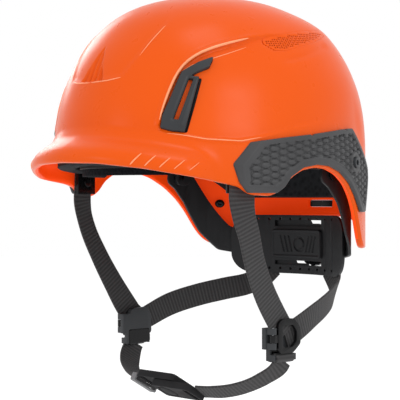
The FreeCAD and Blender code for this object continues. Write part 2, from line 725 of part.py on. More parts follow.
def make_dividers():
    """Strap dividers: a plate with the strap bars, a hinge pin and a D-shaped cam lever on its outside."""
    x, y, level = size("divider_x"), size("divider_y"), size("divider_level")
    half, depth = size("divider_size") / 2, size("divider_depth")
    outline = [
        (y - half, level + half - 2), (y - half + 5, level + half), (y + half - 4, level + half),
        (y + half, level + half - 6), (y + half + 1, level - half), (y - half, level - half),
    ]
    low_x = x - depth - 1.2
    plate = side_prism(outline, 3, low_x, low_x + depth)
    hinge_y = y - half - 3.5
    hinge_x = x + 2.6
    lug_height = 4.5
    pin_radius = size("cam_pin_radius")
    wing = Part.makeBox(depth, 8, 15, Vector(low_x, y - half - 7, level - 9))
    body = plate.fuse(wing)
    lug_levels = (level - 9, level + 6 - lug_height)
    for lug_level in lug_levels:
        post = Part.makeBox(hinge_x - low_x, 5, lug_height, Vector(low_x, hinge_y - 2.5, lug_level))
        knuckle = Part.makeCylinder(2.5, lug_height, Vector(hinge_x, hinge_y, lug_level))
        body = body.fuse(post).fuse(knuckle)
    hole = Part.makeCylinder(pin_radius + 0.02, 60, Vector(hinge_x, hinge_y, level - 30))
    body = body.cut(hole)
    # Bar under the plate for the chin strap's loop, on a leg at each end.
    reach = size("webbing_width") / 2 - 0.6
    leg_low = size("bar_level") - 2
    for leg_y in (size("bar_y") - reach - 2, size("bar_y") + reach):
        stem = Part.makeBox(depth, 2, level - half + 3 - leg_low, Vector(low_x, leg_y, leg_low))
        foot = Part.makeBox(x + 2.6 - low_x, 2, 4.5, Vector(low_x, leg_y, leg_low))
        body = body.fuse(stem).fuse(foot)
    body = body.fuse(bar_cylinder(size("bar_radius"), reach + 1)).removeSplitter()
    both_sides("divider", body)
    pin = Part.makeCylinder(pin_radius, 15.4, Vector(hinge_x, hinge_y, level - 9.2))
    both_sides("cam_pin", pin)
    # The lever's knuckle sits between the lugs, and its ring lies flat on the straps.
    gap = 0.3
    knuckle_low = level - 9 + lug_height + gap
    knuckle_height = 15 - 2 * lug_height - 2 * gap
    knuckle = Part.makeCylinder(2.5, knuckle_height, Vector(hinge_x, hinge_y, knuckle_low))
    neck = Part.makeBox(2.2, 5, knuckle_height, Vector(hinge_x + 0.1, hinge_y + 1, knuckle_low))
    ring_outline = [
        (y - half - 0.5, level + 9), (y - half + 4, level + 12), (y + 5, level + 12), (y + half + 1, level + 5),
        (y + half + 1, level - 6), (y + 4, level - 12), (y - half + 1, level - 12), (y - half - 0.5, level - 8),
    ]
    window_outline = [
        (y - half + 4, level + 7.5), (y + 4, level + 7.5), (y + half - 3, level + 3),
        (y + half - 3, level - 4), (y + 3, level - 8), (y - half + 4, level - 8),
    ]
    ring_low, ring_high = hinge_x + 0.1, hinge_x + 2.5
    ring = side_prism(ring_outline, 4, ring_low, ring_high)
    ring = ring.cut(side_prism(window_outline, 3, ring_low - 1, ring_high + 1))
    lever = ring.fuse(knuckle).fuse(neck)
    swing_room = Part.makeCylinder(pin_radius + 0.05, 60, Vector(hinge_x, hinge_y, level - 30))
    both_sides("cam_lever", lever.cut(swing_room).removeSplitter())


def buckle_place():
    """Placement of the buckle's own frame: X along the strap, Y across it to the rear, Z towards the chin."""
    centre = Vector(0, size("buckle_y"), size("buckle_level"))
    return Placement(centre, Rotation(X_AXIS, size("buckle_tilt")))


def placed_block(name, low, high, radius=0.0, axis=Z_AXIS):
    """A box between two corners of the buckle's frame, with rounded edges along one of its axes."""
    span = [f"{b - a} mm" for a, b in zip(low, high)]
    block = primitive("Box", f"{name}_block", at(*low), Length=span[0], Width=span[1], Height=span[2])
    return rounded(name, block, radius, runs_along(axis)) if radius else block


def buckle_node(obj, name):
    """A buckle piece made at the sheet's origin and set on the strap by its own Placement."""
    doc.recompute()
    part = feature(name, obj.Shape)
    part.Placement = buckle_place().multiply(part.Placement)


def make_buckle():
    """Magnetic chin buckle: a catch on the right strap, and a tongue that closes on it from below."""
    half = size("buckle_width") / 2
    catch = placed_block("catch", (-29, -half, 0.4), (11, half, 5.4), 3)
    strap_slot = placed_block("catch_slot", (-27, -half + 2, -1), (-22, half - 2, 7), 1)
    magnet_seat = primitive("Cylinder", "catch_seat", at(0, 0, 0.2), Radius="5.05 mm", Height="2.2 mm")
    buckle_node(cut("catch", catch, strap_slot, magnet_seat), "buckle_catch")
    tongue = placed_block("tongue", (-11, -half + 1, -5), (29, half - 1, 0), 3)
    tongue_slot = placed_block("tongue_slot", (22, -half + 3, -6), (27, half - 3, 2), 1)
    tongue_seat = primitive("Cylinder", "tongue_seat", at(0, 0, -1.8), Radius="5.05 mm", Height="4 mm")
    ring_groove = primitive("Torus", "tongue_groove", at(0, 0, -5.2), Radius1="7.4 mm", Radius2="0.9 mm")
    buckle_node(cut("tongue", tongue, tongue_slot, tongue_seat, ring_groove), "buckle_tongue")
    upper = primitive("Cylinder", "catch_magnet_disc", at(0, 0, 0.5), Radius="5 mm", Height="1.8 mm")
    buckle_node(upper, "catch_magnet")
    lower = primitive("Cylinder", "tongue_magnet_disc", at(0, 0, -1.75), Radius="5 mm", Height="1.7 mm")
    buckle_node(lower, "tongue_magnet")
    keeper = placed_block("keeper", (-36, -8.6, -2.9), (-31, 15.2, 3.4), 1.2, X_AXIS)
    keeper_hole = placed_block("keeper_hole", (-40, -7.1, -1.6), (-28, 13.7, 2.1))
    buckle_node(cut("keeper", keeper, keeper_hole), "strap_keeper")


make_shell()
make_liner()
make_panels()
make_sockets()
make_vent_frames()
make_headband()
make_crown_pads()
make_arms()
make_temple_brackets()
make_nape_plate()
make_housing()
make_pinion()
make_racks()
make_knob()
make_straps()
make_strap_anchors()
make_dividers()
make_buckle()

# ---------------------------------------------------------------- checks and files

doc.recompute()
failed = [obj.Name for obj in doc.Objects if {"Invalid", "Error"} & set(obj.State)]
if failed:
    raise RuntimeError(f"these features failed: {failed}")
os.makedirs("parts", exist_ok=True)
for name, obj in nodes.items():
    shape = obj.Shape
    if shape.isNull() or not shape.isValid() or not shape.Solids:
        raise RuntimeError(f"{name} is not a valid solid")
    shape.exportStep(f"parts/{name}.step")
    print(f"{name}: {len(shape.Solids)} solid(s), {shape.Volume / 1000:.2f} cm3")
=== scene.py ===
import json
import math
import bpy
import bmesh
import numpy as np
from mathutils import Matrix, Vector
from mathutils.geometry import delaunay_2d_cdt


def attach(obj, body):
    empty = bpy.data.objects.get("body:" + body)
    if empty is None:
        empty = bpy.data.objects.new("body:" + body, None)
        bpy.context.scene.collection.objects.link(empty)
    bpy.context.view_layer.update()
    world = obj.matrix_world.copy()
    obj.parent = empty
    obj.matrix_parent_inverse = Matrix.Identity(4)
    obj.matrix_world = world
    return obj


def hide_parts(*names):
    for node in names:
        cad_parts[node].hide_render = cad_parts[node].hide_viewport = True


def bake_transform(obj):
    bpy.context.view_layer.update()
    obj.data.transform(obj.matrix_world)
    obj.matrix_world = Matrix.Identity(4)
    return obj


# Arborist climbing helmet. Shapes are worked out in millimetres, in the frame of the CAD model
# (-Y is the front, +X the wearer's left, +Z up), and written to meshes in metres.

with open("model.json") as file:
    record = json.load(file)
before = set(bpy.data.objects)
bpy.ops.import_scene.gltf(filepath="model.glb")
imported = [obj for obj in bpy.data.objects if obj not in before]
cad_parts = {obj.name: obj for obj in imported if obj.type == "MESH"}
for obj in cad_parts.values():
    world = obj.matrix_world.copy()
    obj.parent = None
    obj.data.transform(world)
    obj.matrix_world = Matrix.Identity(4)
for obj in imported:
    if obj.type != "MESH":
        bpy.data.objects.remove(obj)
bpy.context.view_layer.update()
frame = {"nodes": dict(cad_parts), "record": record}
MM = 0.001

# ---------------------------------------------------------------- camera, light and floor

VIEW_AZIMUTH = math.radians(47)
VIEW_DISTANCE = 1.0
VIEW_LENS = 120.2
VIEW_SIDESTEP = -0.0082
FLOOR_LEVEL = -0.30
FLOOR_GLOW = 0.12
# azimuth and elevation in degrees, distance and size in metres, power in watts
LIGHTS = {
    "right_strip": (84, 26, 1.5, 0.5, 4.8),
    "left_strip": (-104, 24, 1.5, 0.55, 3.4),
    "top": (70, 74, 1.5, 0.5, 3.5),
    "front_key": (-6, 12, 1.6, 0.35, 2.0),
}


def placed(name, data):
    """New object in the scene that holds data."""
    obj = bpy.data.objects.new(name, data)
    bpy.context.scene.collection.objects.link(obj)
    return obj


def make_camera():
    """Camera level with the origin, looking at the helmet's left front quarter."""
    back = Vector((math.sin(VIEW_AZIMUTH), -math.cos(VIEW_AZIMUTH), 0))
    right = Vector((math.cos(VIEW_AZIMUTH), math.sin(VIEW_AZIMUTH), 0))
    camera = placed("camera", bpy.data.cameras.new("camera"))
    camera.data.lens = VIEW_LENS
    camera.data.sensor_width = 36
    camera.data.clip_end = 50
    camera.location = back * VIEW_DISTANCE + right * VIEW_SIDESTEP
    camera.rotation_euler = (-back).to_track_quat("-Z", "Y").to_euler()
    bpy.context.scene.camera = camera


def area_light(name, azimuth, elevation, distance, size, power):
    """Square area light aimed at the helmet's middle."""
    a, e = math.radians(azimuth), math.radians(elevation)
    away = Vector((math.sin(a) * math.cos(e), -math.cos(a) * math.cos(e), math.sin(e)))
    light = bpy.data.lights.new(name, "AREA")
    light.energy = power
    light.size = size
    lamp = placed(name, light)
    lamp.location = away * distance
    lamp.rotation_euler = (-away).to_track_quat("-Z", "Y").to_euler()


def make_stage():
    """White surroundings, four lamps and a white floor."""
    world = bpy.data.worlds.new("studio")
    world.use_nodes = True
    world.node_tree.nodes["Background"].inputs["Color"].default_value = (1, 1, 1, 1)
    world.node_tree.nodes["Background"].inputs["Strength"].default_value = 1.0
    bpy.context.scene.world = world
    bpy.context.scene.view_settings.view_transform = "Standard"
    for name, settings in LIGHTS.items():
        area_light(name, *settings)
    bpy.ops.mesh.primitive_circle_add(vertices=96, radius=6, fill_type="NGON", location=(0, 0, FLOOR_LEVEL))
    floor = bpy.context.object
    floor.name = "floor"
    material = bpy.data.materials.new("floor_white")
    material.use_nodes = True
    shader = material.node_tree.nodes["Principled BSDF"]
    shader.inputs["Base Color"].default_value = (0.9, 0.9, 0.9, 1)
    shader.inputs["Roughness"].default_value = 0.9
    shader.inputs["Emission Color"].default_value = (1, 1, 1, 1)
    shader.inputs["Emission Strength"].default_value = FLOOR_GLOW
    floor.data.materials.append(material)


# ---------------------------------------------------------------- materials


class Nodes:
    """Short way to write one procedural material on object coordinates."""

    def __init__(self, name, colour, roughness, **sockets):
        self.material = bpy.data.materials.new(name)
        self.material.use_nodes = True
        self.tree = self.material.node_tree
        self.shader = self.tree.nodes["Principled BSDF"]
        self.shader.inputs["Base Color"].default_value = (*colour, 1)
        self.shader.inputs["Roughness"].default_value = roughness
        for socket, value in sockets.items():
            self.shader.inputs[socket.replace("_", " ")].default_value = value
        self.coordinates = self.tree.nodes.new("ShaderNodeTexCoord")
        self.height = None

    def link(self, a, b):
        self.tree.links.new(a, b)

    def noise(self, scale, detail):
        node = self.tree.nodes.new("ShaderNodeTexNoise")
        node.inputs["Scale"].default_value = scale
        node.inputs["Detail"].default_value = detail
        self.link(self.coordinates.outputs["Object"], node.inputs["Vector"])
        return node.outputs["Fac"]

    def voronoi(self, scale):
        node = self.tree.nodes.new("ShaderNodeTexVoronoi")
        node.inputs["Scale"].default_value = scale
        self.link(self.coordinates.outputs["Object"], node.inputs["Vector"])
        return node.outputs["Distance"]

    def wave(self, scale, direction, distortion=0.0):
        node = self.tree.nodes.new("ShaderNodeTexWave")
        node.bands_direction = direction
        node.inputs["Scale"].default_value = scale
        node.inputs["Distortion"].default_value = distortion
        self.link(self.coordinates.outputs["UV"], node.inputs["Vector"])
        return node.outputs["Fac"]

    def math(self, operation, a, b):
        node = self.tree.nodes.new("ShaderNodeMath")
        node.operation = operation
        for socket, value in zip(node.inputs, (a, b)):
            if isinstance(value, (int, float)):
                socket.default_value = value
            else:
                self.link(value, socket)
        return node.outputs["Value"]

    def colour_from(self, factor, dark, light, low=0.3, high=0.7):
        node = self.tree.nodes.new("ShaderNodeValToRGB")
        for element, position, colour in zip(node.color_ramp.elements, (low, high), (dark, light)):
            element.position, element.color = position, (*colour, 1)
        self.link(factor, node.inputs["Fac"])
        self.link(node.outputs["Color"], self.shader.inputs["Base Color"])

    def roughness_from(self, factor, low, high):
        node = self.tree.nodes.new("ShaderNodeMapRange")
        node.inputs["To Min"].default_value = low
        node.inputs["To Max"].default_value = high
        self.link(factor, node.inputs["Value"])
        self.link(node.outputs["Result"], self.shader.inputs["Roughness"])

    def bump(self, height, distance, strength=1.0):
        node = self.tree.nodes.new("ShaderNodeBump")
        node.inputs["Distance"].default_value = distance
        node.inputs["Strength"].default_value = strength
        self.link(height, node.inputs["Height"])
        if self.height is not None:
            self.link(self.height, node.inputs["Normal"])
        self.height = node.outputs["Normal"]
        self.link(self.height, self.shader.inputs["Normal"])


def shades(colour, spread):
    """A darker and a lighter shade of one colour."""
    return tuple(c * (1 - spread) for c in colour), tuple(min(1, c * (1 + spread)) for c in colour)


def grained_material(name, colour, spread, mean, finish, tones, marks, grain, depth, strength, **sockets):
    """Moulded plastic or metal.

    Its tone, its roughness (about mean, over the range finish) and its fine bump follow the noises
    tones, marks and grain, each a scale and a detail."""
    m = Nodes(name, colour, mean, **sockets)
    m.colour_from(m.noise(*tones), *shades(colour, spread))
    m.roughness_from(m.noise(*marks), *finish)
    m.bump(m.noise(*grain), depth, strength)
    return m


def plastic_material(name, colour, roughness):
    finish = (roughness - 0.06, roughness + 0.08)
    return grained_material(name, colour, 0.10, roughness, finish, (35, 3), (260, 4), (1500, 3), 0.00012,
                            0.5, IOR=1.46, Specular_IOR_Level=0.2).material


def shell_inside_material():
    """The unpainted inside of the shell, with a painted glow (a weak orange emission) standing in for the
    light that comes through the wall.
    """
    m = grained_material("orange_abs_inside_painted_glow", (0.80, 0.062, 0.003), 0.06, 0.45, (0.38, 0.5), (14, 3),
                         (200, 4), (700, 3), 0.0001, 0.6, IOR=1.46, Specular_IOR_Level=0.12)
    # painted glow: this emission stands in for light passing through the shell wall
    m.shader.inputs["Emission Color"].default_value = (1.0, 0.05, 0.003, 1)
    m.shader.inputs["Emission Strength"].default_value = 0.38
    return m.material


STRAP_RIB_PITCH = 0.0027
WAVE_TURN = 2 * math.pi / 20    # a wave texture of scale s repeats every WAVE_TURN / s


def webbing_material():
    """Woven strap: painted shade makes it darker between its cross ribs, with a fine weave both ways."""
    grey = (0.041, 0.040, 0.041)
    m = Nodes("webbing", grey, 0.85, Specular_IOR_Level=0.25)
    m.shader.inputs["Sheen Weight"].default_value = 0.08
    m.shader.inputs["Sheen Roughness"].default_value = 0.5
    across = m.wave(330, "Y", distortion=0.4)
    along = m.wave(465, "X", distortion=0.4)
    weave = m.math("MULTIPLY", across, along)
    # painted shade: the colour darkens between the cross ribs that the strap's mesh already has
    rib_shade = m.math("SUBTRACT", 1.0, m.wave(WAVE_TURN / STRAP_RIB_PITCH, "X"))
    tone = m.math("ADD", m.math("MULTIPLY", rib_shade, 0.45), m.math("MULTIPLY", weave, 0.25))
    tone = m.math("ADD", tone, m.math("MULTIPLY", m.noise(700, 3), 0.3))
    m.colour_from(tone, *shades(grey, 0.42), 0.2, 0.9)
    m.bump(weave, 0.00015, 0.6)
    m.bump(m.noise(2600, 2), 0.00008, 0.5)
    return m.material


def foam_material():
    colour = (0.017, 0.018, 0.020)
    m = Nodes("liner_foam", colour, 0.8, Specular_IOR_Level=0.06)
    m.colour_from(m.voronoi(240), *shades(colour, 0.3), 0.1, 0.6)
    m.bump(m.voronoi(240), 0.0004, 0.6)
    m.bump(m.noise(1200, 2), 0.0001, 0.4)
    return m.material


def pad_material():
    colour = (0.006, 0.007, 0.009)
    m = Nodes("knit_pad", colour, 0.92, Specular_IOR_Level=0.06)
    m.shader.inputs["Sheen Weight"].default_value = 0.02
    knit = m.voronoi(620)
    m.colour_from(knit, *shades(colour, 0.4), 0.1, 0.7)
    m.bump(knit, 0.0004, 0.9)
    return m.material


make_camera()
make_stage()
MATERIALS = {
    "shell_orange": grained_material(
        "orange_abs", (0.67, 0.079, 0.0025), 0.03, 0.30, (0.24, 0.34), (6, 2), (90, 4), (420, 2),
        0.00006, 0.6, IOR=1.46, Specular_IOR_Level=0.15).material,
    "shell_inside": shell_inside_material(),
    # glossier crests of the shell's moulded lines, their paler orange a painted highlight
    "shell_edge_highlight": grained_material(
        "orange_abs_painted_highlight", (0.86, 0.30, 0.14), 0.08, 0.22, (0.18, 0.28), (60, 2), (300, 3), (420, 2),
        0.00005, 0.5, IOR=1.46, Specular_IOR_Level=0.4).material,
    "foam_black": foam_material(),
    "trim_grey": plastic_material("trim_soft_plastic", (0.052, 0.052, 0.054), 0.42),
    "frame_grey": plastic_material("frame_nylon", (0.033, 0.035, 0.038), 0.36),
    "cradle_grey": plastic_material("cradle_nylon", (0.015, 0.0155, 0.017), 0.44),
    "pad_black": pad_material(),
    "webbing_grey": webbing_material(),
    "buckle_black": grained_material(
        "black_acetal", (0.005, 0.005, 0.0055), 0.15, 0.2, (0.13, 0.24), (60, 2), (180, 4), (900, 2),
        0.00004, 0.4, IOR=1.5, Specular_IOR_Level=0.2).material,
    "keeper_grey": plastic_material("keeper_nylon", (0.17, 0.17, 0.175), 0.5),
    "buckle_matte": grained_material(
        "matte_acetal", (0.020, 0.020, 0.021), 0.15, 0.62, (0.52, 0.7), (60, 2), (240, 4), (1500, 3),
        0.0001, 0.5, IOR=1.46, Specular_IOR_Level=0.05).material,
    "spring_steel": grained_material(
        "spring_steel", (0.58, 0.58, 0.60), 0.08, 0.3, (0.22, 0.42), (400, 2), (700, 3), (1800, 2),
        0.00003, 0.4, Metallic=1.0).material,
}
SLOT_OF = {entry["node"]: entry["material_slot"] for entry in frame["record"]["subparts"]}
BODY_OF = {node: body for body, entry in frame["record"]["behaviour"]["bodies"].items()
           for node in entry}
for node_name, node_object in frame["nodes"].items():
    node_object.data.materials.clear()
    node_object.data.materials.append(MATERIALS[SLOT_OF[node_name]])

# ---------------------------------------------------------------- the head form

HALF_WIDTH, HALF_LENGTH, CROWN, EXPONENT, CENTRE_Y = 105.0, 126.0, 149.0, 2.65, 1.0
MEAN_HALF = (HALF_WIDTH + HALF_LENGTH) / 2
PROFILE_ANGLE = np.linspace(0, math.pi / 2, 4001)
PROFILE_RADIUS = np.cos(PROFILE_ANGLE) ** (2 / EXPONENT)
PROFILE_RADIUS[-1] = 0
PROFILE_HEIGHT = CROWN * np.sin(PROFILE_ANGLE) ** (2 / EXPONENT)
PROFILE_ARC = np.concatenate([[0], np.cumsum(np.hypot(
    np.diff(PROFILE_RADIUS * MEAN_HALF), np.diff(PROFILE_HEIGHT)))])
ARC_TOP = float(PROFILE_ARC[-1])


def smooth(low, high, x):
    """Smooth step from 0 at low to 1 at high."""
    t = np.clip((np.asarray(x, float) - low) / (high - low), 0, 1)
    return t * t * (3 - 2 * t)


def unit(vectors):
    """Vectors at length one."""
    return vectors / np.linalg.norm(vectors, axis=-1, keepdims=True)


def run_along(points):
    """Distance along a path at each of its points."""
    return np.concatenate([[0], np.cumsum(np.linalg.norm(np.diff(points, axis=0), axis=1))])


def quarter_round(share):
    """Height of a quarter circle at a share of its run, from 0 at its foot to 1."""
    return np.sqrt(np.clip(1 - (1 - np.clip(share, 0, 1)) ** 2, 0, 1))


def arc_at_height(z):
    """Distance up the profile from the level of the origin."""
    return np.where(z > 0, np.interp(z, PROFILE_HEIGHT, PROFILE_ARC), z)


def height_at_arc(arc):
    return np.where(arc > 0, np.interp(arc, PROFILE_ARC, PROFILE_HEIGHT), arc)


def head_point(phi, arc):
    """Point and outward normal of the head form. phi is 0 at the front and +90 degrees at the left."""
    radius = np.interp(arc, PROFILE_ARC, PROFILE_RADIUS)
    z = height_at_arc(arc)
    sin, cos = np.sin(phi), -np.cos(phi)
    point = np.stack([HALF_WIDTH * radius * sin, CENTRE_Y + HALF_LENGTH * radius * cos, z], -1)
    flat = np.maximum(radius, 1e-6) ** (EXPONENT - 1)
    rise = (np.maximum(z, 0) / CROWN) ** (EXPONENT - 1) / CROWN
    normal = np.stack([flat * sin / HALF_WIDTH, flat * cos / HALF_LENGTH, rise], -1)
    return point, unit(normal)


def soft_curve(knots, values, blur):
    """Interpolated curve through knots with its corners blurred, as a function."""
    x = np.linspace(knots[0], knots[-1], 2001)
    y = np.interp(x, knots, values)
    step = x[1] - x[0]
    reach = max(1, int(3 * blur / step))
    kernel = np.exp(-0.5 * (np.arange(-reach, reach + 1) * step / blur) ** 2)
    kernel /= kernel.sum()
    padded = np.concatenate([np.full(reach, y[0]), y, np.full(reach, y[-1])])
    y = np.convolve(padded, kernel, "valid")
    return lambda q: np.interp(q, x, y)


# Lower edge of the shell: heights against the angle round the head, the same on both sides.
RIM_ANGLES = [0, 15, 30, 40, 50, 57, 61, 64, 72, 76, 79, 84, 90, 96, 102, 108, 113, 117, 120, 123,
              127, 139, 144, 148, 152, 158, 170, 180]
RIM_HEIGHTS = [25.7, 24.8, 21.5, 18, 14.4, 11.8, 10, 4.8, 3.8, 8, 15.5, 21.5, 23.8, 23, 19, 11.5, 2, -9,
               -20, -29, -34.6, -35.4, -30, -22, -16, -13, -11.8, -11.5]
rim_curve = soft_curve(RIM_ANGLES, RIM_HEIGHTS, 1.1)


def rim_height(phi):
    return rim_curve(np.abs(np.degrees(phi)))


BRIM_REACH = 17.5
BRIM_PROFILE = soft_curve([-3, 0, 3, 8.5, 12.8, 17.2, 24, 30],
                          [0.93, 0.97, 1, 0.84, 0.52, 0.15, 0, 0], 1.6)
BRIM_SIDE_FADE = (43, 56)


def brim(phi, above_rim):
    """How far the brim stands out from the head form."""
    degrees = np.abs(np.degrees(phi))
    reach = BRIM_REACH * np.maximum(np.cos(phi), 0) ** 0.8
    fade = 1 - smooth(*BRIM_SIDE_FADE, degrees)
    return reach * fade * BRIM_PROFILE(above_rim)


def side_distance(points, outline):
    """Signed distance to a closed outline in a plane: negative inside."""
    points = np.asarray(points, float)
    corners = np.asarray(outline, float)
    best = np.full(points.shape[:-1], np.inf)
    inside = np.zeros(points.shape[:-1], bool)
    for a, b in zip(corners, np.roll(corners, -1, 0)):
        edge = b - a
        t = np.clip(((points - a) @ edge) / (edge @ edge), 0, 1)
        best = np.minimum(best, np.linalg.norm(points - a - t[..., None] * edge, axis=-1))
        crosses = (a[1] > points[..., 1]) != (b[1] > points[..., 1])
        with np.errstate(divide="ignore", invalid="ignore"):
            x = a[0] + (points[..., 1] - a[1]) * edge[0] / edge[1]
        inside ^= crosses & (points[..., 0] < x)
    return np.where(inside, -best, best)


def line_distance(points, line):
    """Distance to an open line in a plane, and how far along it the nearest point is, from 0 to 1."""
    points = np.asarray(points, float)
    corners = np.asarray(line, float)
    starts = run_along(corners)
    lengths = np.linalg.norm(np.diff(corners, axis=0), axis=1)
    best = np.full(points.shape[:-1], np.inf)
    along = np.zeros(points.shape[:-1])
    for a, b, start, length in zip(corners, corners[1:], starts, lengths):
        t = np.clip(((points - a) @ (b - a)) / length ** 2, 0, 1)
        distance = np.linalg.norm(points - a - t[..., None] * (b - a), axis=-1)
        along = np.where(distance < best, (start + t * length) / starts[-1], along)
        best = np.minimum(best, distance)
    return best, along


# Details are drawn on the unrolled head form: millimetres round the head at the origin's level,
# and height.
MM_PER_DEGREE = 1.95


def unrolled(pairs):
    """(angle in degrees, height) pairs as points of the unrolled head form."""
    return [(degrees * MM_PER_DEGREE, z) for degrees, z in pairs]


RIDGE = unrolled([(33.2, 46), (33.6, 52), (34.4, 60), (36.3, 72.5), (38.5, 84), (41.5, 92.5), (46.3, 99),
                  (52.5, 103.8), (59.5, 107.6), (68, 111.5), (76, 114.5)])
LOW_CREASE = unrolled([(36, 44.5), (41.4, 43.3), (49.8, 40.5), (61.4, 39.5), (69.1, 42.5), (78, 48)])
SIDE_FIELD = RIDGE + unrolled([(100, 118), (110, 80), (95, 55)]) + LOW_CREASE[::-1]
FRONT_CREASE = unrolled([(36, 134), (30, 121), (25.5, 108.5), (22, 97.5), (16.8, 83)])
SCOOP_LIP = unrolled([(17.5, 82.6), (9, 81.5), (0, 81.2), (-9, 81.5), (-17.5, 82.6)])
FRONT_FIELD = FRONT_CREASE + SCOOP_LIP[1:-1] + [(-u, z) for u, z in FRONT_CREASE[::-1]]
PERFORATED = unrolled([(74.5, 112.9), (84, 116), (96, 119), (110, 121), (118, 121.5), (119, 119),
                       (112, 115.5), (102, 111.5), (92, 107.5), (84, 104.4), (79, 104.6), (74.5, 109)])
REAR_CREASE = unrolled([(80, 96), (92, 101), (104, 107), (114, 112)])
SIDE_FIELD_DEPTH, FRONT_FIELD_DEPTH, SCOOP_DEPTH = 2.6, 0.7, 2.1
SCOOP_SLATS = (-6.2, 0, 6.2)
PERFORATED_SEAT = 1.5
REAR_FULLNESS = 3.4


def shell_detail(phi, arc, seat=PERFORATED_SEAT):
    """Height of the moulded detail on the shell's outside, the same on both halves of the head."""
    z = height_at_arc(arc)
    u = np.abs(np.degrees(phi)) * MM_PER_DEGREE
    spots = np.stack([u, z], -1)
    detail = np.zeros(u.shape)
    # side field, sunk behind the ridge and rising to the rear
    depth = SIDE_FIELD_DEPTH * (1 - smooth(58, 104, u / MM_PER_DEGREE))
    low_fade = 0.35 + 0.65 * smooth(40, 70, z)
    inside = side_distance(spots, SIDE_FIELD)
    detail -= depth * low_fade * (1 - smooth(-1.2, 0.2, inside))
    # raised bead along the ridge, and the softer line below the vent
    away, along = line_distance(spots, RIDGE)
    bead = 0.8 * np.exp(-((away - 1.0) / 1.4) ** 2) * smooth(1.0, 0.82, along) * smooth(0, 0.05, along)
    detail += np.where(inside > -0.4, bead, 0)
    away, along = line_distance(spots, LOW_CREASE)
    detail += 0.5 * np.exp(-(away / 1.3) ** 2) * smooth(0, 0.12, along) * smooth(1, 0.7, along)
    # centre front panel with its scoop
    inside = side_distance(spots, FRONT_FIELD)
    panel = 1 - smooth(-4.2, 0.4, inside)
    detail -= FRONT_FIELD_DEPTH * panel * (1 - smooth(112, 132, z))
    side = np.degrees(phi) * MM_PER_DEGREE
    reach = np.clip((107 - z) / 25, 0, 1)
    width = 1 - smooth(11 * reach, 13.5 * reach + 0.8, np.abs(side))
    scoop = SCOOP_DEPTH * np.sqrt(reach) * width * smooth(81.2, 82.4, z)
    slats = sum(np.exp(-(side - x) ** 4) for x in SCOOP_SLATS)
    detail -= scoop * (1 - 0.75 * slats * (reach > 0.12))
    # shallow seat of the perforated field
    inside = side_distance(spots, PERFORATED)
    detail -= seat * (1 - smooth(-1.1, -0.1, inside))
    # fuller rear quarters above the side panels, with the crease under the perforated field
    degrees = u / MM_PER_DEGREE
    low = 50 - 40 * smooth(118, 132, degrees)
    fullness = REAR_FULLNESS * smooth(78, 122, degrees) * smooth(0, 1, (z - low) / (84 - low))
    detail += fullness * (1 - smooth(120, 142, z))
    away, along = line_distance(spots, REAR_CREASE)
    detail -= 0.9 * np.exp(-(away / 2.2) ** 2) * smooth(0, 0.2, along) * smooth(1, 0.8, along)
    return detail


def shell_surface(phi, arc):
    """Points and normals of the shell's finished outside."""
    point, normal = head_point(phi, arc)
    rise = shell_detail(phi, arc) + brim(phi, arc - arc_at_height(rim_height(phi)))
    return point + normal * rise[..., None], normal


# ---------------------------------------------------------------- mesh helpers


def new_object(name, vertices, faces, sharp=None):
    """Mesh object from points in millimetres."""
    mesh = bpy.data.meshes.new(name)
    mesh.from_pydata((np.asarray(vertices, float) * MM).tolist(), [], [list(map(int, f)) for f in faces])
    mesh.update()
    obj = placed(name, mesh)
    for polygon in mesh.polygons:
        polygon.use_smooth = True
    if sharp:
        mesh.set_sharp_from_angle(angle=math.radians(sharp))
    return obj


def outward(obj):
    """Makes every face of a closed mesh point outwards."""
    work = bmesh.new()
    work.from_mesh(obj.data)
    bmesh.ops.recalc_face_normals(work, faces=work.faces)
    work.to_mesh(obj.data)
    work.free()
    return obj


def finish_piece(obj, body, slot, *nodes):
    """Gives a piece its material, its body (None for one that bends) and the CAD nodes it stands for."""
    obj.data.materials.clear()
    obj.data.materials.append(MATERIALS[slot])
    if body:
        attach(obj, body)
    if nodes:
        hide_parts(*nodes)
    return obj


def grid_faces(rows, columns, start=0, closed=True):
    """Quads between rows of points; closed joins the last column to the first."""
    faces = []
    span = columns if closed else columns - 1
    for r in range(rows - 1):
        for c in range(span):
            a, b = start + r * columns + c, start + r * columns + (c + 1) % columns
            faces.append((a, b, b + columns, a + columns))
    return faces


def fan_faces(rings, columns):
    """Fans that close a stack of rings on two centre points, which follow the last ring."""
    last = rings * columns
    faces = []
    for c in range(columns):
        following = (c + 1) % columns
        faces.append((following, c, last))
        faces.append((last - columns + c, last - columns + following, last + 1))
    return faces


def prism_faces(count):
    """Walls and ends of a prism whose two outlines have count points each."""
    return grid_faces(2, count) + [tuple(range(count)), tuple(range(2 * count - 1, count - 1, -1))]


def sheet_solid(name, outer, inner):
    """Solid between two faces, each a list of rows of points, open at the ends of the rows."""
    rings = outer + inner[::-1]
    columns = len(outer[0])
    faces = grid_faces(len(rings), columns, closed=False)
    last = (len(rings) - 1) * columns
    for c in range(columns - 1):
        faces.append((last + c, last + c + 1, c + 1, c))
    for c in (0, columns - 1):
        side = [r * columns + c for r in range(len(rings))]
        for r in range(len(outer) - 1):
            faces.append((side[r], side[r + 1], side[-r - 2], side[-r - 1]))
    return outward(new_object(name, np.vstack(rings), faces))


def ellipse(centre, half_width, half_height, count):
    """Corners of an upright ellipse in a plane."""
    return [(centre[0] + half_width * math.cos(a), centre[1] + half_height * math.sin(a))
            for a in np.linspace(0, 2 * math.pi, count, endpoint=False)]


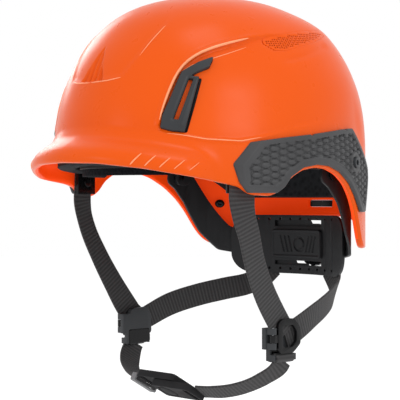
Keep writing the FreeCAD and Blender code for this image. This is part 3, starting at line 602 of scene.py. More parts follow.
def round_outline(points, radius, spacing):
    """Closed outline with rounded corners, resampled at an even spacing."""
    points = np.asarray(points, float)
    count = len(points)
    path = []
    for i in range(count):
        before, here, after = points[i - 1], points[i], points[(i + 1) % count]
        a, b = before - here, after - here
        la, lb = np.linalg.norm(a), np.linalg.norm(b)
        half = math.acos(np.clip(a @ b / (la * lb), -1, 1)) / 2
        reach = min(radius / max(math.tan(half), 1e-6), 0.48 * la, 0.48 * lb)
        start, end = here + a / la * reach, here + b / lb * reach
        for t in np.linspace(0, 1, 7):
            path.append((1 - t) ** 2 * start + 2 * t * (1 - t) * here + t * t * end)
    path = np.array(path)
    closed = np.vstack([path, path[:1]])
    lengths = run_along(closed)
    samples = max(8, int(round(lengths[-1] / spacing)))
    at = np.linspace(0, lengths[-1], samples, endpoint=False)
    return np.stack([np.interp(at, lengths, closed[:, k]) for k in (0, 1)], -1)


def plate(name, place, outline, depth, cell, holes=(), relief=None, corner=2.0, hole_corner=0.8,
          round_over=0.8):
    """Moulded plate on a curved surface.

    place(u, v, offset) gives points in space; outline and holes are in (u, v). The front face is at
    offset depth plus relief(u, v, edge distance), rounded over at its edges; the back is at offset 0."""
    loops = [round_outline(outline, corner, cell)]
    loops += [round_outline(hole, hole_corner, cell * 0.8) for hole in holes]
    low, high = loops[0].min(0), loops[0].max(0)
    us = np.arange(low[0] + cell / 2, high[0], cell)
    vs = np.arange(low[1] + cell / 2, high[1], cell * 0.93)
    grid = np.stack(np.meshgrid(us, vs), -1)
    grid[1::2, :, 0] += cell / 2
    grid = grid.reshape(-1, 2)
    grid = grid[side_distance(grid, loops[0]) < -0.6 * cell]
    for loop in loops[1:]:
        grid = grid[side_distance(grid, loop) > 0.55 * cell]
    corners, edges = [], []
    for loop in loops:
        start = len(corners)
        corners += loop.tolist()
        edges += [(start + i, start + (i + 1) % len(loop)) for i in range(len(loop))]
    points = corners + grid.tolist()
    flat, _, triangles, *_ = delaunay_2d_cdt([Vector(p) for p in points], edges, [], 2, 1e-6)
    flat = np.array([tuple(p) for p in flat])
    centres = flat[np.array([t[:3] for t in triangles])].mean(1)
    keep = side_distance(centres, loops[0]) < 0
    for loop in loops[1:]:
        keep &= side_distance(centres, loop) > 0
    triangles = [tuple(t) for t, k in zip(triangles, keep) if k]
    edge_distance = -side_distance(flat, loops[0])
    for loop in loops[1:]:
        edge_distance = np.minimum(edge_distance, side_distance(flat, loop))
    edge_distance = np.maximum(edge_distance, 0)
    front = depth + (relief(flat[:, 0], flat[:, 1], edge_distance) if relief else 0)
    front = front - round_over * (1 - quarter_round(edge_distance / round_over))
    count = len(flat)
    top = place(flat[:, 0], flat[:, 1], front)
    back = place(flat[:, 0], flat[:, 1], np.zeros(count))
    faces = list(triangles) + [tuple(i + count for i in reversed(t)) for t in triangles]
    used = {pair_of: None for t in triangles for pair_of in zip(t, t[1:] + t[:1])}
    for a, b in used:
        if (b, a) not in used:
            faces.append((b, a, a + count, b + count))
    vertices = np.vstack([top, back])
    wanted = np.unique(np.concatenate([np.array(f) for f in faces]))
    remap = -np.ones(len(vertices), int)
    remap[wanted] = np.arange(len(wanted))
    faces = [tuple(remap[i] for i in f) for f in faces]
    return outward(new_object(name, vertices[wanted], faces, sharp=50))


def mirror_x(obj, name):
    """The other side's copy of a piece."""
    mesh = obj.data.copy()
    mesh.name = name
    mesh.transform(((-1, 0, 0, 0), (0, 1, 0, 0), (0, 0, 1, 0), (0, 0, 0, 1)))
    mesh.flip_normals()
    return placed(name, mesh)


def pair(obj, slot, node=None):
    """Finishes a left piece and its mirror image, as the stand-ins of node_left and node_right."""
    other = mirror_x(obj, obj.name.replace("_left", "_right"))
    for piece, side in ((obj, "left"), (other, "right")):
        finish_piece(piece, "helmet", slot, *([f"{node}_{side}"] if node else []))


def subtract(obj, cutters):
    """Cuts closed cutter objects out of obj and removes them."""
    for cutter in cutters:
        modifier = obj.modifiers.new("cut", "BOOLEAN")
        modifier.object = cutter
        modifier.operation = "DIFFERENCE"
        modifier.solver = "EXACT"
    bpy.context.view_layer.objects.active = obj
    for modifier in list(obj.modifiers):
        bpy.ops.object.modifier_apply(modifier=modifier.name)
    for cutter in cutters:
        bpy.data.objects.remove(cutter)


def on_head(offset, detailed=False):
    """Placement on the unrolled head form, offset outwards, for plate().

    detailed adds the shell's detail, all but the perforated field's seat."""
    def place(u, v, rise):
        phi, arc = np.radians(u / MM_PER_DEGREE), arc_at_height(v)
        point, normal = head_point(phi, arc)
        detail = shell_detail(phi, arc, 0) if detailed else 0
        return point + normal * (offset + rise + detail)[:, None]
    return place


# ---------------------------------------------------------------- shell

SHELL_WALL = 3.0
LIP_DEPTH = 1.3
VENT_OUTLINE = unrolled([
    (33.9, 47.8), (34.5, 56.6), (36.9, 68.1), (39, 79.7), (40.3, 86.4), (46.5, 93.3), (52.8, 97.6),
    (50.9, 89.6), (46.6, 86.2), (44.2, 83.6), (48.3, 82.9), (45.8, 62.6), (43.4, 44.6), (38, 45.6)])
VENT_SLOT = unrolled([(38.6, 54), (40.3, 53.4), (45.0, 81.2), (43.4, 81.6)])
VENT_FRAME_OUTLINE = unrolled([
    (34.05, 48), (34.65, 56.6), (37.05, 68.1), (39.15, 79.7), (40.45, 86.2), (46.6, 93.1), (52.5, 97.2),
    (50.7, 89.8), (46.6, 86.4), (43.7, 83.2), (47.2, 82.7), (44.7, 62.6), (42.5, 45.0), (38, 45.9)])
CROWN_GAP = 1.2


def column_angles():
    """Angles of the shell's columns, closer together where it carries fine detail."""
    stops = [0, 8.5, 31, 54, 72, 120, 150, 180]
    steps = [0.4, 1.0, 0.55, 0.9, 1.0, 1.3, 1.6]
    half = np.concatenate([np.linspace(a, b, round((b - a) / s), endpoint=False)
                           for a, b, s in zip(stops, stops[1:], steps)])
    full = np.concatenate([-half[::-1][:-1], half, [180]])
    return np.radians(full)


def vent_cutter(name, mirror):
    """Closed prism through the shell wall in the outline of a vent frame."""
    outline = round_outline(VENT_OUTLINE, 1.2, 1.5)
    count = len(outline)
    rings = [on_head(0)(outline[:, 0], outline[:, 1], np.full(count, rise)) for rise in (6.0, -12.0)]
    vertices = np.vstack(rings) * (-1 if mirror else 1, 1, 1)
    return outward(new_object(name, vertices, prism_faces(count)))


def make_shell():
    """Outer shell: its detailed outside, a plain inside, a rounded rim, vents and the rear slot."""
    phi = column_angles()
    columns = len(phi)
    rim_arc = arc_at_height(rim_height(phi))
    rows, inner_rows = 176, 46
    outer = []
    for share in np.interp(np.linspace(0, 1, rows), [0, 0.62, 0.9, 1], [0, 0.5, 0.78, 1]):
        arc = rim_arc + (ARC_TOP - CROWN_GAP - rim_arc) * share
        outer.append(shell_surface(phi, arc)[0])
    inner = []
    for share in np.linspace(1, 0, inner_rows) ** 1.15:
        arc = rim_arc + (ARC_TOP - CROWN_GAP - rim_arc) * share
        point, normal = head_point(phi, arc)
        height = arc - rim_arc
        wall = SHELL_WALL + 1.4 * (1 - smooth(0, 9, height))
        flare = brim(phi, height) - wall - 0.6
        inner.append(point + normal * flare[:, None])
    middle, across = (inner[-1] + outer[0]) / 2, inner[-1] - outer[0]
    down = np.array([0, 0, -LIP_DEPTH])
    lip = [middle - across / 2 * math.cos(math.pi * turn) + down * math.sin(math.pi * turn)
           for turn in (0.25, 0.5, 0.75)]
    rings = inner + lip[::-1] + outer
    top_outer = shell_surface(np.zeros(1), np.full(1, ARC_TOP))[0]
    top_inner = top_outer - np.array([[0, 0, SHELL_WALL + 0.6]])
    faces = grid_faces(len(rings), columns) + fan_faces(len(rings), columns)
    shell = outward(new_object("shell_outer", np.vstack(rings + [top_inner, top_outer]), faces))
    slot_box = cutter_box("slot_cutter", (-13, 100, -5.5), (13, 140, 0))
    subtract(shell, [vent_cutter("vent_cutter_l", False), vent_cutter("vent_cutter_r", True), slot_box])
    shell.data.set_sharp_from_angle(angle=math.radians(48))
    finish_piece(shell, "helmet", "shell_orange", "outer_shell")
    shell.data.materials.append(MATERIALS["shell_inside"])
    middle = Vector((0, 0, 0.01))
    for polygon in shell.data.polygons:
        outward_part = (polygon.center - middle).normalized().dot(polygon.normal)
        polygon.material_index = int(outward_part < -0.05)


def cutter_box(name, low, high):
    """Closed box between two corners."""
    corners = [(x, y, z) for z in (low[2], high[2]) for y in (low[1], high[1])
               for x in (low[0], high[0])]
    faces = [(0, 1, 3, 2), (4, 6, 7, 5), (0, 4, 5, 1), (2, 3, 7, 6), (0, 2, 6, 4), (1, 5, 7, 3)]
    return outward(new_object(name, corners, faces))


# ---------------------------------------------------------------- side panels and vent frames


def on_side(offset):
    """Placement by side-view (y, z) on the left of the head form, offset outwards, for plate()."""
    def place(y, z, rise):
        radius = np.interp(arc_at_height(z), PROFILE_ARC, PROFILE_RADIUS)
        phi = np.arccos(np.clip((CENTRE_Y - y) / (HALF_LENGTH * radius), -1, 1))
        point, normal = head_point(phi, arc_at_height(z))
        return point + normal * (offset + rise)[:, None]
    return place


PANEL_ARCH = [(-63, 7), (-56, 4.7), (-35, 4.7), (-29, 8.8), (-23.5, 15.8), (-12.5, 22.2), (1, 24.4),
              (14.2, 23.6), (27, 19.6), (40, 12), (50.2, 2.6), (60.5, -8.4), (66, -10)]
PANEL_OUTLINE = [
    (-64.5, 24), (-52.5, 38.8), (-27, 42.4), (-5, 45), (-4, 44.2), (-2, 44.4), (-1, 45.5), (28, 49.5),
    (34, 50.2), (35, 49.4), (37, 49.6), (38, 50.6), (47, 51.4), (80, 24), (81, 16), (70, -9),
] + PANEL_ARCH[-2:0:-1] + [(-61, 12)]
PANEL_NOSE = [(-63, 14), (-64.5, 24), (-52.5, 38.8), (-51, 41)]
PANEL_STEP = [(-3, 49), (-5.5, 40), (-5, 34), (-2, 27)]
SOCKET_SPOT = (49.3, 27)
CELL_WIDTH, CELL_HEIGHT = 1.72, 4.5


def honeycomb(u, v):
    """Distance inside the nearest stretched hexagonal cell's edge, in the cell's own scale."""
    x, y, pitch = u / CELL_WIDTH, v, CELL_HEIGHT
    best = np.full(np.shape(u), -1e9)
    for shift in (0, 1):
        column = np.round((x / (0.866 * pitch) - shift) / 2) * 2 + shift
        centre_x = column * 0.866 * pitch
        row = np.round((y - shift * pitch / 2) / pitch)
        centre_y = row * pitch + shift * pitch / 2
        dx, dy = np.abs(x - centre_x), np.abs(y - centre_y)
        best = np.maximum(best, pitch / 2 - np.maximum(dy, 0.866 * dx + 0.5 * dy))
    return best


def panel_relief(y, z, edge):
    """The side panel's face: a facet along its nose, domed cells, two raised lines and a seat."""
    spots = np.stack([y, z], -1)
    nose, _ = line_distance(spots, PANEL_NOSE)
    arch, _ = line_distance(spots, PANEL_ARCH)
    step, _ = line_distance(spots, PANEL_STEP)
    facet = -2.35 * (1 - np.clip(nose / 5.0, 0, 1))
    room = np.minimum(np.minimum(edge - 3.4, arch - 5.2), nose - 9)
    field = smooth(0, 0.5, room)
    gap = 0.26 + 0.26 * smooth(-40, 20, y)
    comb = honeycomb(y + 3, z - 0.8)
    cells = smooth(gap, gap + 0.42, comb)
    dome = 0.42 * smooth(0.3, 2.2, comb)
    depth = 1.45 + 0.2 * smooth(-8, -4, y)
    relief = facet + field * (-depth + (depth - 0.42) * cells + dome)
    relief -= 0.45 * field * smooth(-4.5, -3.5, y - 0.05 * (z - 36) ** 2)
    relief += 0.40 * np.exp(-((arch - 4.6) / 0.5) ** 2) * (edge > 3.0)
    relief += 0.30 * np.exp(-(step / 0.45) ** 2) * (room > 0)
    seat = np.linalg.norm(spots - np.array(SOCKET_SPOT), axis=-1)
    return np.where(seat < 5.6, -0.15 * smooth(5.6, 5.0, seat), relief)


def make_panels():
    """Side panels round the ear arches."""
    hole = ellipse(SOCKET_SPOT, 4.2, 3.9, 24)
    panel = plate("side_panel_left_skin", on_side(0.4), PANEL_OUTLINE, 2.5, 0.48, [hole], panel_relief,
                  corner=2.5, hole_corner=0.1, round_over=0.9)
    pair(panel, "trim_grey", "side_panel")


def frame_relief(u, z, edge):
    """The vent frame's face: a ramp down to the slot on one side, and a wedge on the other."""
    spots = np.stack([u, z], -1)
    slot, _ = line_distance(spots, [VENT_SLOT[0], VENT_SLOT[3]])
    wedge, _ = line_distance(spots, unrolled([(41.3, 50), (46.2, 81)]))
    return -0.9 * np.exp(-(slot / 1.3) ** 2) + 0.7 * np.exp(-(wedge / 1.5) ** 2)


def make_vent_frames():
    """Slotted inserts in the vent windows, with a baffle behind each slot."""
    frame_piece = plate("vent_frame_left_moulding", on_head(-3.0), VENT_FRAME_OUTLINE, 3.9, 0.45,
                        [VENT_SLOT], frame_relief, corner=1.1, hole_corner=0.6, round_over=0.6)
    pair(frame_piece, "frame_grey", "vent_frame")
    baffle_outline = unrolled([(37, 51), (42.5, 51), (47, 83), (41.5, 83)])
    pair(plate("vent_baffle_left", on_head(-3.35), baffle_outline, 0.3, 1.2, corner=2), "shell_orange")


# ---------------------------------------------------------------- moulded lines and the perforated field

RIB_SINK = 0.3


def rib_strip(path, width, height, samples):
    """Low rounded rib along a path on the shell's outside, thinning out to its ends.

    Gives its points, the number of its rings and the number of points in a ring."""
    path = np.array(path, float)
    knots = run_along(path)
    u, z = soft_curve(knots, path[:, 0], knots[-1] / 40), soft_curve(knots, path[:, 1], knots[-1] / 40)
    run = np.linspace(0, knots[-1], samples)
    phi, arc = np.radians(u(run) / MM_PER_DEGREE), arc_at_height(z(run))
    point, normal = shell_surface(phi, arc)
    across = np.cross(normal, unit(np.gradient(point, axis=0)))
    share = np.linspace(0, 1, samples)
    taper = np.sqrt(np.clip(1 - (2 * share - 1) ** 4, 0.02, 1))
    profile = np.linspace(-1, 1, 9)
    rings = []
    for k in profile:
        lift = (height + RIB_SINK) * taper * (1 - k * k) - RIB_SINK
        rings.append(point + across * (k * width / 2 * taper)[:, None] + normal * lift[:, None])
    rings.append(point - normal * (RIB_SINK + 0.4))
    return np.stack(rings, 1).reshape(-1, 3), samples, len(profile) + 1


def rib_object(name, strips):
    """One closed solid per strip and one for its mirror image, all in one object."""
    vertices, faces = [], []
    for points, samples, count in strips:
        for sign in (1, -1):
            start = sum(len(v) for v in vertices)
            vertices.append(points * (sign, 1, 1))
            faces += grid_faces(samples, count, start)
            faces.append(tuple(range(start, start + count)))
            faces.append(tuple(start + (samples - 1) * count + i for i in range(count)))
    return outward(new_object(name, np.vstack(vertices), faces))


def make_ribs():
    """Raised lines on the shell: ridges, creases, the scoop's lip and five ticks over each brow."""
    strips = [
        rib_strip(RIDGE[1:-1], 2.2, 1.05, 220),
        rib_strip(unrolled([(37.5, 84), (44, 92), (52, 97), (60, 102), (68, 107)]), 0.8, 0.25, 120),
        rib_strip(LOW_CREASE[:-1], 0.9, 0.28, 160),
        rib_strip(FRONT_CREASE[1:4], 0.8, 0.25, 120),
        rib_strip(unrolled([(16.6, 83.4), (10, 81.6), (4, 81.1), (0.3, 81.0)]), 1.1, 0.4, 60),
    ]
    for k in range(5):
        degrees = 28 + 4.4 * k
        low, high = 22.4 - 0.9 * k, 30.2 - 1.4 * k
        tick = unrolled([(degrees - 1.7, low), (degrees + 1.7, high)])
        strips.append(rib_strip(tick, 1.3 - 0.13 * k, 0.55, 24))
    ribs = rib_object("shell_moulded_lines", strips)
    finish_piece(ribs, "helmet", "shell_orange")
    # the moulded lines and ticks take a paler orange: a painted highlight along them
    ribs.data.materials[0] = MATERIALS["shell_edge_highlight"]


HOLE_SPACING, HOLE_ROW, HOLE_MARGIN = 2.1875, 1.5, 1.0
HOLE_CORNERS = [(0, 0.56), (-1.15, -0.48), (1.15, -0.48)]


def make_perforations():
    """Sheet with small triangular holes in a seat over each rear quarter, and a dark sheet under it as
    painted shade in the holes.
    """
    holes = []
    for row in range(13):
        for column in range(40):
            flip = -1 if (row + column) % 2 else 1
            u, z = 142 + column * HOLE_SPACING, 103.5 + row * HOLE_ROW
            hole = [(u + x, z + flip * y) for x, y in HOLE_CORNERS]
            if max(side_distance(np.array(hole), PERFORATED)) < -HOLE_MARGIN:
                holes.append(hole)
    grille = plate("perforated_field_left", on_head(-1.3, True), PERFORATED, 1.5, 0.9, holes, corner=1.5,
                   hole_corner=0.2, round_over=0.18)
    # dark sheet under the holes: painted shade that darkens them
    hole_shade_sheet = plate("perforation_backing_left", on_head(-PERFORATED_SEAT, True), PERFORATED, 0.17, 1.5,
                    corner=1.5, round_over=0.05)
    pair(grille, "shell_orange")
    pair(hole_shade_sheet, "foam_black")


# ---------------------------------------------------------------- liner, headband and pads

LINER_EDGE = soft_curve([0, 60, 72, 100, 118, 131, 136, 140, 180],
                        [26, 21.5, 28, 29, 28, 14, 5, 3.4, 3.4], 2.5)
LINER_OFFSET, LINER_WALL, LINER_ROWS = -3.5, 13.6, 56


def make_liner():
    """Foam liner: a dome with ventilation channels along its inside and rounded lower edges."""
    phi = np.radians(np.arange(0, 360, 1.0))
    signed = np.where(phi > math.pi, phi - 2 * math.pi, phi)
    edge_arc = arc_at_height(LINER_EDGE(np.abs(np.degrees(signed))))

    def ring(share, depth):
        arc = edge_arc + (ARC_TOP - 1.5 - edge_arc) * share
        point, normal = head_point(signed, arc)
        groove = np.exp(-((np.mod(np.degrees(signed) + 22.5, 45) - 22.5) / 3.2) ** 2)
        groove = groove * smooth(0.12, 0.25, share) * smooth(0.92, 0.8, share)
        return point + normal * (LINER_OFFSET - depth + 5 * groove * (depth > 3))[:, None]

    outer = [ring(share, 0) for share in np.linspace(1, 0, LINER_ROWS)]
    inner = [ring(share, LINER_WALL) for share in np.linspace(0, 1, LINER_ROWS)]
    middle, across = (outer[-1] + inner[0]) / 2, outer[-1] - inner[0]
    drop = np.array([0, 0, -1.6])
    lip = [middle + across / 2 * math.cos(math.pi * turn) + drop * math.sin(math.pi * turn)
           for turn in (0.2, 0.4, 0.6, 0.8)]
    rings = outer + lip + inner
    vertices = np.vstack(rings + [outer[0].mean(0, keepdims=True), inner[-1].mean(0, keepdims=True)])
    faces = grid_faces(len(rings), len(phi)) + fan_faces(len(rings), len(phi))
    liner = outward(new_object("liner_foam", vertices, faces))
    duct = round_outline(unrolled([(37.5, 51), (44, 51), (47.5, 84), (42, 84)]), 1.5, 1.2)
    count = len(duct)
    cutters = []
    tube = np.vstack([on_head(0)(duct[:, 0], duct[:, 1], np.full(count, rise)) for rise in (-1, -22)])
    for sign in (1, -1):
        cutters.append(outward(new_object("duct", tube * (sign, 1, 1), prism_faces(count))))
    subtract(liner, cutters)
    liner.data.set_sharp_from_angle(angle=math.radians(50))
    finish_piece(liner, "helmet", "foam_black", "impact_liner")


BAND_WIDTH, BAND_LENGTH, BAND_WALL = 84.5, 105.0, 1.5


def band_surface(inset):
    """Surface of the upright oval headband, inset inwards."""
    def surface(phi, z):
        a, b = BAND_WIDTH - inset, BAND_LENGTH - inset
        point = np.stack([a * np.sin(phi), -b * np.cos(phi), np.full(phi.shape, float(z))], -1)
        normal = np.stack([np.sin(phi) / a, -np.cos(phi) / b, np.zeros(phi.shape)], -1)
        return point, unit(normal)
    return surface


def make_headband():
    """Brow band, open at the back between the headband arms."""
    phis = np.radians(np.linspace(-109.5, 109.5, 220))
    rows = np.concatenate([[22, 22.4], np.linspace(23, 43, 14), [43.6, 44]])
    outer, inner = [], []
    for row in rows:
        point, normal = band_surface(0)(phis, row)
        outer.append(point)
        inner.append(point - normal * BAND_WALL)
    band = sheet_solid("headband_strip", outer, inner)
    bevel(band, 0.4, 2)
    finish_piece(band, "helmet", "cradle_grey", "headband")


def bevel(obj, width, segments=3, angle=30):
    """Rounds the sharp edges of a piece and leaves the result in its mesh."""
    modifier = obj.modifiers.new("bevel", "BEVEL")
    modifier.width = width * MM
    modifier.segments = segments
    modifier.limit_method = "ANGLE"
    modifier.angle_limit = math.radians(angle)
    modifier.harden_normals = False
    bpy.context.view_layer.objects.active = obj
    bpy.ops.object.modifier_apply(modifier=modifier.name)
    for polygon in obj.data.polygons:
        polygon.use_smooth = True
    obj.data.set_sharp_from_angle(angle=math.radians(40))


def cushion(name, phis, surface, low, high, thickness, quilts, node):
    """Padded strip between two heights: stitched edges, and a swelling between stitch lines."""
    columns = len(phis)
    outer, inner = [], []
    for v in np.linspace(0, 1, 36):
        z = low + (high - low) * v
        point, normal = surface(phis, z)
        across = np.linspace(0, 1, columns)
        edge_v = np.minimum(v, 1 - v) * (high - low)
        edge_u = np.minimum(across, 1 - across) * columns * 1.4
        edge = np.minimum(edge_v, edge_u)
        swell = quarter_round(edge / 5.0)
        seam = np.abs(np.mod(across * quilts, 1) - 0.5) * 2
        seam = 1 - 0.42 * np.exp(-((1 - seam) / 0.06) ** 2)
        wrinkle = 0.22 * np.sin(across * quilts * 37 + v * 9) * np.sin(v * 21 + across * 11)
        depth = 0.9 + (thickness - 0.9 + wrinkle) * swell * seam
        outer.append(point)
        inner.append(point - normal * depth[:, None])
    pad = sheet_solid(name, outer, inner)
    finish_piece(pad, "helmet", "pad_black", node)


def make_brow_pad():
    cushion("brow_pad_cushion", np.radians(np.linspace(-66, 66, 200)), band_surface(1.8), 17, 44, 5.0, 9,
            "brow_pad")


PAD_INSET = 17.8


def disc_pad(name, outline, place, thickness, node, mirror=False):
    """Padded shape inside the liner, swollen towards the head."""
    def relief(u, v, edge):
        return (thickness - 1) * quarter_round(edge / 6.0)

    pad = plate(name, place, outline, 1.0, 1.5, (), relief, corner=8, round_over=0.7)
    if mirror:
        other = mirror_x(pad, name.replace("_left", "_right"))
        finish_piece(other, "helmet", "pad_black", f"{node}_right")
        finish_piece(pad, "helmet", "pad_black", f"{node}_left")
    else:
        finish_piece(pad, "helmet", "pad_black", node)


def shrunk(depth):
    """The head form's three half sizes, less a depth."""
    return HALF_WIDTH - PAD_INSET - depth, HALF_LENGTH - PAD_INSET - depth, CROWN - PAD_INSET - depth


def inside_dome(x, y, rise):
    """Placement on the inside of the liner's crown by plan (x, y)."""
    a, b, c = shrunk(rise)
    flat = np.hypot(x / a, (y - CENTRE_Y) / b)
    z = c * np.clip(1 - flat ** EXPONENT, 0, 1) ** (1 / EXPONENT)
    return np.stack([x, y, z], -1)


def inside_side(y, z, rise):
    """Placement on the liner's inner wall by side-view (y, z)."""
    a, b, c = shrunk(rise)
    radius = np.clip(1 - (z / c) ** EXPONENT, 0, 1) ** (1 / EXPONENT)
    x = a * radius * np.sqrt(np.clip(1 - ((y - CENTRE_Y) / (b * radius)) ** 2, 0, 1))
    return np.stack([x, y, z], -1)


def make_crown_pads():
    """Comfort pads on the inside of the liner: one at the crown and one each side."""
    oval = ellipse((0, 5), 22, 48, 40)
    disc_pad("crown_pad_cushion", oval, inside_dome, 4.8, "crown_pad")
    side = [(-30, 66), (40, 66), (34, 92), (-24, 92)]
    disc_pad("side_pad_left_cushion", side, inside_side, 4.8, "side_pad", True)


# ---------------------------------------------------------------- straps


def spline(stations, step):
    """Smooth centre line, width and face directions through stations, at an even spacing."""
    centres, widths, faces = np.array(stations, float).transpose(1, 0, 2)
    widths, faces, knots = unit(widths), unit(faces), run_along(centres)
    fine = np.linspace(0, knots[-1], 600)

    def through(values):
        slopes = np.gradient(values, knots, axis=0)
        i = np.clip(np.searchsorted(knots, fine, "right") - 1, 0, len(knots) - 2)
        h = (knots[i + 1] - knots[i])[:, None]
        t = ((fine - knots[i])[:, None]) / h
        return ((1 + 2 * t) * (1 - t) ** 2 * values[i] + t * (1 - t) ** 2 * h * slopes[i]
                + t * t * (3 - 2 * t) * values[i + 1] + t * t * (t - 1) * h * slopes[i + 1])

    path = through(centres)
    length = run_along(path)
    even = np.linspace(0, length[-1], int(length[-1] / step))

    def evenly(values):
        return np.stack([np.interp(even, length, values[:, k]) for k in range(3)], -1)

    return evenly(path), evenly(through(widths)), evenly(through(faces)), even


WEBBING_STEP, WEBBING_RIB, WEBBING_EDGE = 0.45, 0.22, 0.6


def webbing(name, stations, width, depth):
    """Woven strap: a rounded ribbon with cross ribs and thicker edges, with UVs along it in metres."""
    path, across, facing, run = spline(stations, WEBBING_STEP)
    along = unit(np.gradient(path, axis=0))
    across = unit(across - along * (across * along).sum(1, keepdims=True))
    out = np.cross(along, across)
    out *= np.sign((out * facing).sum(1, keepdims=True))
    half_w, half_d = width / 2, depth / 2
    flat = half_w - WEBBING_EDGE
    half = [(s * flat, 1) for s in np.linspace(-1, 1, 15)]
    half += [(flat + WEBBING_EDGE * math.sin(a), math.cos(a)) for a in np.linspace(0.4, math.pi - 0.4, 4)]
    outline = np.array(half + [(-x, -y) for x, y in half])
    wave = (0.5 + 0.5 * np.cos(2 * math.pi * run * MM / STRAP_RIB_PITCH)) ** 2
    ripple = WEBBING_RIB * wave - WEBBING_RIB * 0.5
    rings = []
    for centre, wide, normal, high in zip(path, across, out, ripple):
        inner = np.abs(outline[:, 0]) < half_w - 1.6
        lift = half_d + np.where(inner, high, 0.05)
        rings.append(centre + wide * outline[:, :1] + normal * (outline[:, 1] * lift)[:, None])
    count = len(outline)
    vertices = np.vstack(rings)
    ends = [tuple(range(count)), tuple(range(len(vertices) - 1, len(vertices) - count - 1, -1))]
    faces = grid_faces(len(rings), count) + ends
    strap = new_object(name, vertices, faces)
    layer = strap.data.uv_layers.new(name="along")
    cross = np.tile(outline[:, 0], len(rings))
    down = np.repeat(run, count)
    for loop in strap.data.loops:
        layer.data[loop.index].uv = (down[loop.vertex_index] * MM, cross[loop.vertex_index] * MM)
    outward(strap)
    strap.data.set_sharp_from_angle(angle=math.radians(60))
    return strap


def flipped(stations):
    """The other side's stations of a mirrored strap."""
    return [tuple((-x, y, z) for x, y, z in station) for station in stations]


FRONT_STRAP = [
    ((86.8, -53, 20), (0.25, 1, 0), (1, -0.25, 0)),
    ((86.9, -53.4, 10), (0.25, 1, 0), (1, -0.25, 0)),
    ((87, -53.8, 0), (0.25, 1, 0), (1, -0.25, 0)),
    ((87.5, -52.5, -10), (0.1, 1, 0), (1, -0.1, 0)),
    ((87.5, -48, -22), (0, 1, 0.1), (1, 0, 0)),
    ((86, -40, -44), (-0.04, 1, 0.42), (1, 0, 0)),
    ((83.7, -28.5, -64), (0, 1, 0.55), (1, 0, 0)),
    ((81.9, -15, -82), (0, 1, 0.6), (1, 0, 0)),
    ((81.45, -6, -93.5), (0, 1, 0.6), (1, 0, 0)),
]
# The right strap hangs with a little twist.
TWISTED_STRAP = FRONT_STRAP[:3] + [
    ((87.4, -52, -10), (0.32, 1, 0.04), (1, -0.3, 0)),
    ((86.6, -48.6, -22), (0.34, 1, 0.2), (1, -0.3, 0)),
    ((84.6, -39, -43), (0.32, 1, 0.42), (1, -0.3, 0)),
    ((82.8, -27, -64), (0.2, 1, 0.55), (1, -0.2, 0)),
] + FRONT_STRAP[7:]
REAR_STRAP = [
    ((79.75, -4, -96.5), (0, 0.35, 1), (1, 0, 0)),
    ((79.75, 8, -91.8), (0, 0.35, 1), (1, 0, 0)),
    ((77.5, 27, -84), (0, 0.36, 1), (1, 0.2, 0)),
    ((69.5, 51, -77), (0, 0.3, 1), (1, 0.6, 0)),
    ((58, 72, -72), (0.1, 0.2, 1), (0.9, 0.9, 0)),
    ((48, 86, -68.5), (0.35, 0.1, 0.95), (0.5, 1, 0)),
    ((38.5, 95.6, -62.5), (0.6, 0, 0.8), (0.3, 1, 0)),
    ((30, 99.2, -54), (0.72, -0.05, 0.7), (0.25, 1, 0)),
]
LOWER_STRAP = [
    ((80.6, -7, -112.2), (0, 1, 0), (1, 0, 0)),
    ((79.6, -10, -117), (0, 1, -0.1), (1, 0, -0.2)),
    ((72, -19, -125.5), (0, 1, -0.25), (0.7, 0, -0.7)),
    ((58, -27, -132.5), (0, 1, -0.4), (0.35, -0.3, -0.9)),
    ((42, -34, -136), (0, 1, -0.55), (0.1, -0.45, -0.9)),
    ((29.3, -38.5, -136.6), (0, 1, -0.577), (0, -0.5, -0.87)),
]
BAR, BAR_RADIUS = (80.6, -7, -110.4), 2.6


def loop_stations():
    """End of the chin strap round the divider's lower bar, closing on the strap's start."""
    stations = []
    for angle in np.linspace(-math.pi / 2, 3 * math.pi / 2, 17):
        away = Vector((math.cos(angle), 0, math.sin(angle)))
        stations.append((tuple(Vector(BAR) + away * BAR_RADIUS), (0, 1, 0), tuple(away)))
    return stations


def make_straps():
    """Front, rear and chin straps of both sides; the rear ones run between helmet and nape cradle and are
    left on no body.
    """
    for side, flip, low_body in (("left", False, "chin_half_left"), ("right", True, "helmet")):
        turn = flipped if flip else list
        stations = turn(TWISTED_STRAP if flip else FRONT_STRAP)
        front = webbing(f"front_strap_{side}_webbing", stations, 20, 1.6)
        finish_piece(front, "helmet", "webbing_grey", f"front_strap_{side}")
        rear = webbing(f"rear_strap_{side}_webbing", turn(REAR_STRAP), 18, 1.6)
        finish_piece(rear, None, "webbing_grey", f"rear_strap_{side}")
        start, end = [tuple(c * MM for c in turn(REAR_STRAP)[i][0]) for i in (0, -1)]
        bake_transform(rear)
        lower = webbing(f"chin_strap_{side}_webbing", turn(LOWER_STRAP), 18, 1.6)
        loop = webbing(f"chin_strap_{side}_loop", turn(loop_stations()), 18, 1.5)
        join([lower, loop])
        finish_piece(lower, low_body, "webbing_grey", f"chin_strap_{side}")


def join(objects):
    """Joins objects into the first."""
    bpy.ops.object.select_all(action="DESELECT")
    for obj in objects:
        obj.select_set(True)
    bpy.context.view_layer.objects.active = objects[0]
    bpy.ops.object.join()
    return objects[0]


# ---------------------------------------------------------------- moulded hardware


def moulded(node, name, width):
    """A CAD node's own shape, its edges rounded as moulded plastic's are."""
    source = frame["nodes"][node]
    mesh = source.data.copy()
    mesh.transform(source.matrix_world)
    mesh.materials.clear()
    obj = placed(name, mesh)
    work = bmesh.new()
    work.from_mesh(mesh)
    bmesh.ops.remove_doubles(work, verts=work.verts, dist=1e-6)
    bmesh.ops.dissolve_limit(work, angle_limit=math.radians(1.5), verts=work.verts, edges=work.edges)
    work.to_mesh(mesh)
    work.free()
    bevel(obj, width, angle=32)
    finish_piece(obj, BODY_OF[node], SLOT_OF[node], node)
    return obj


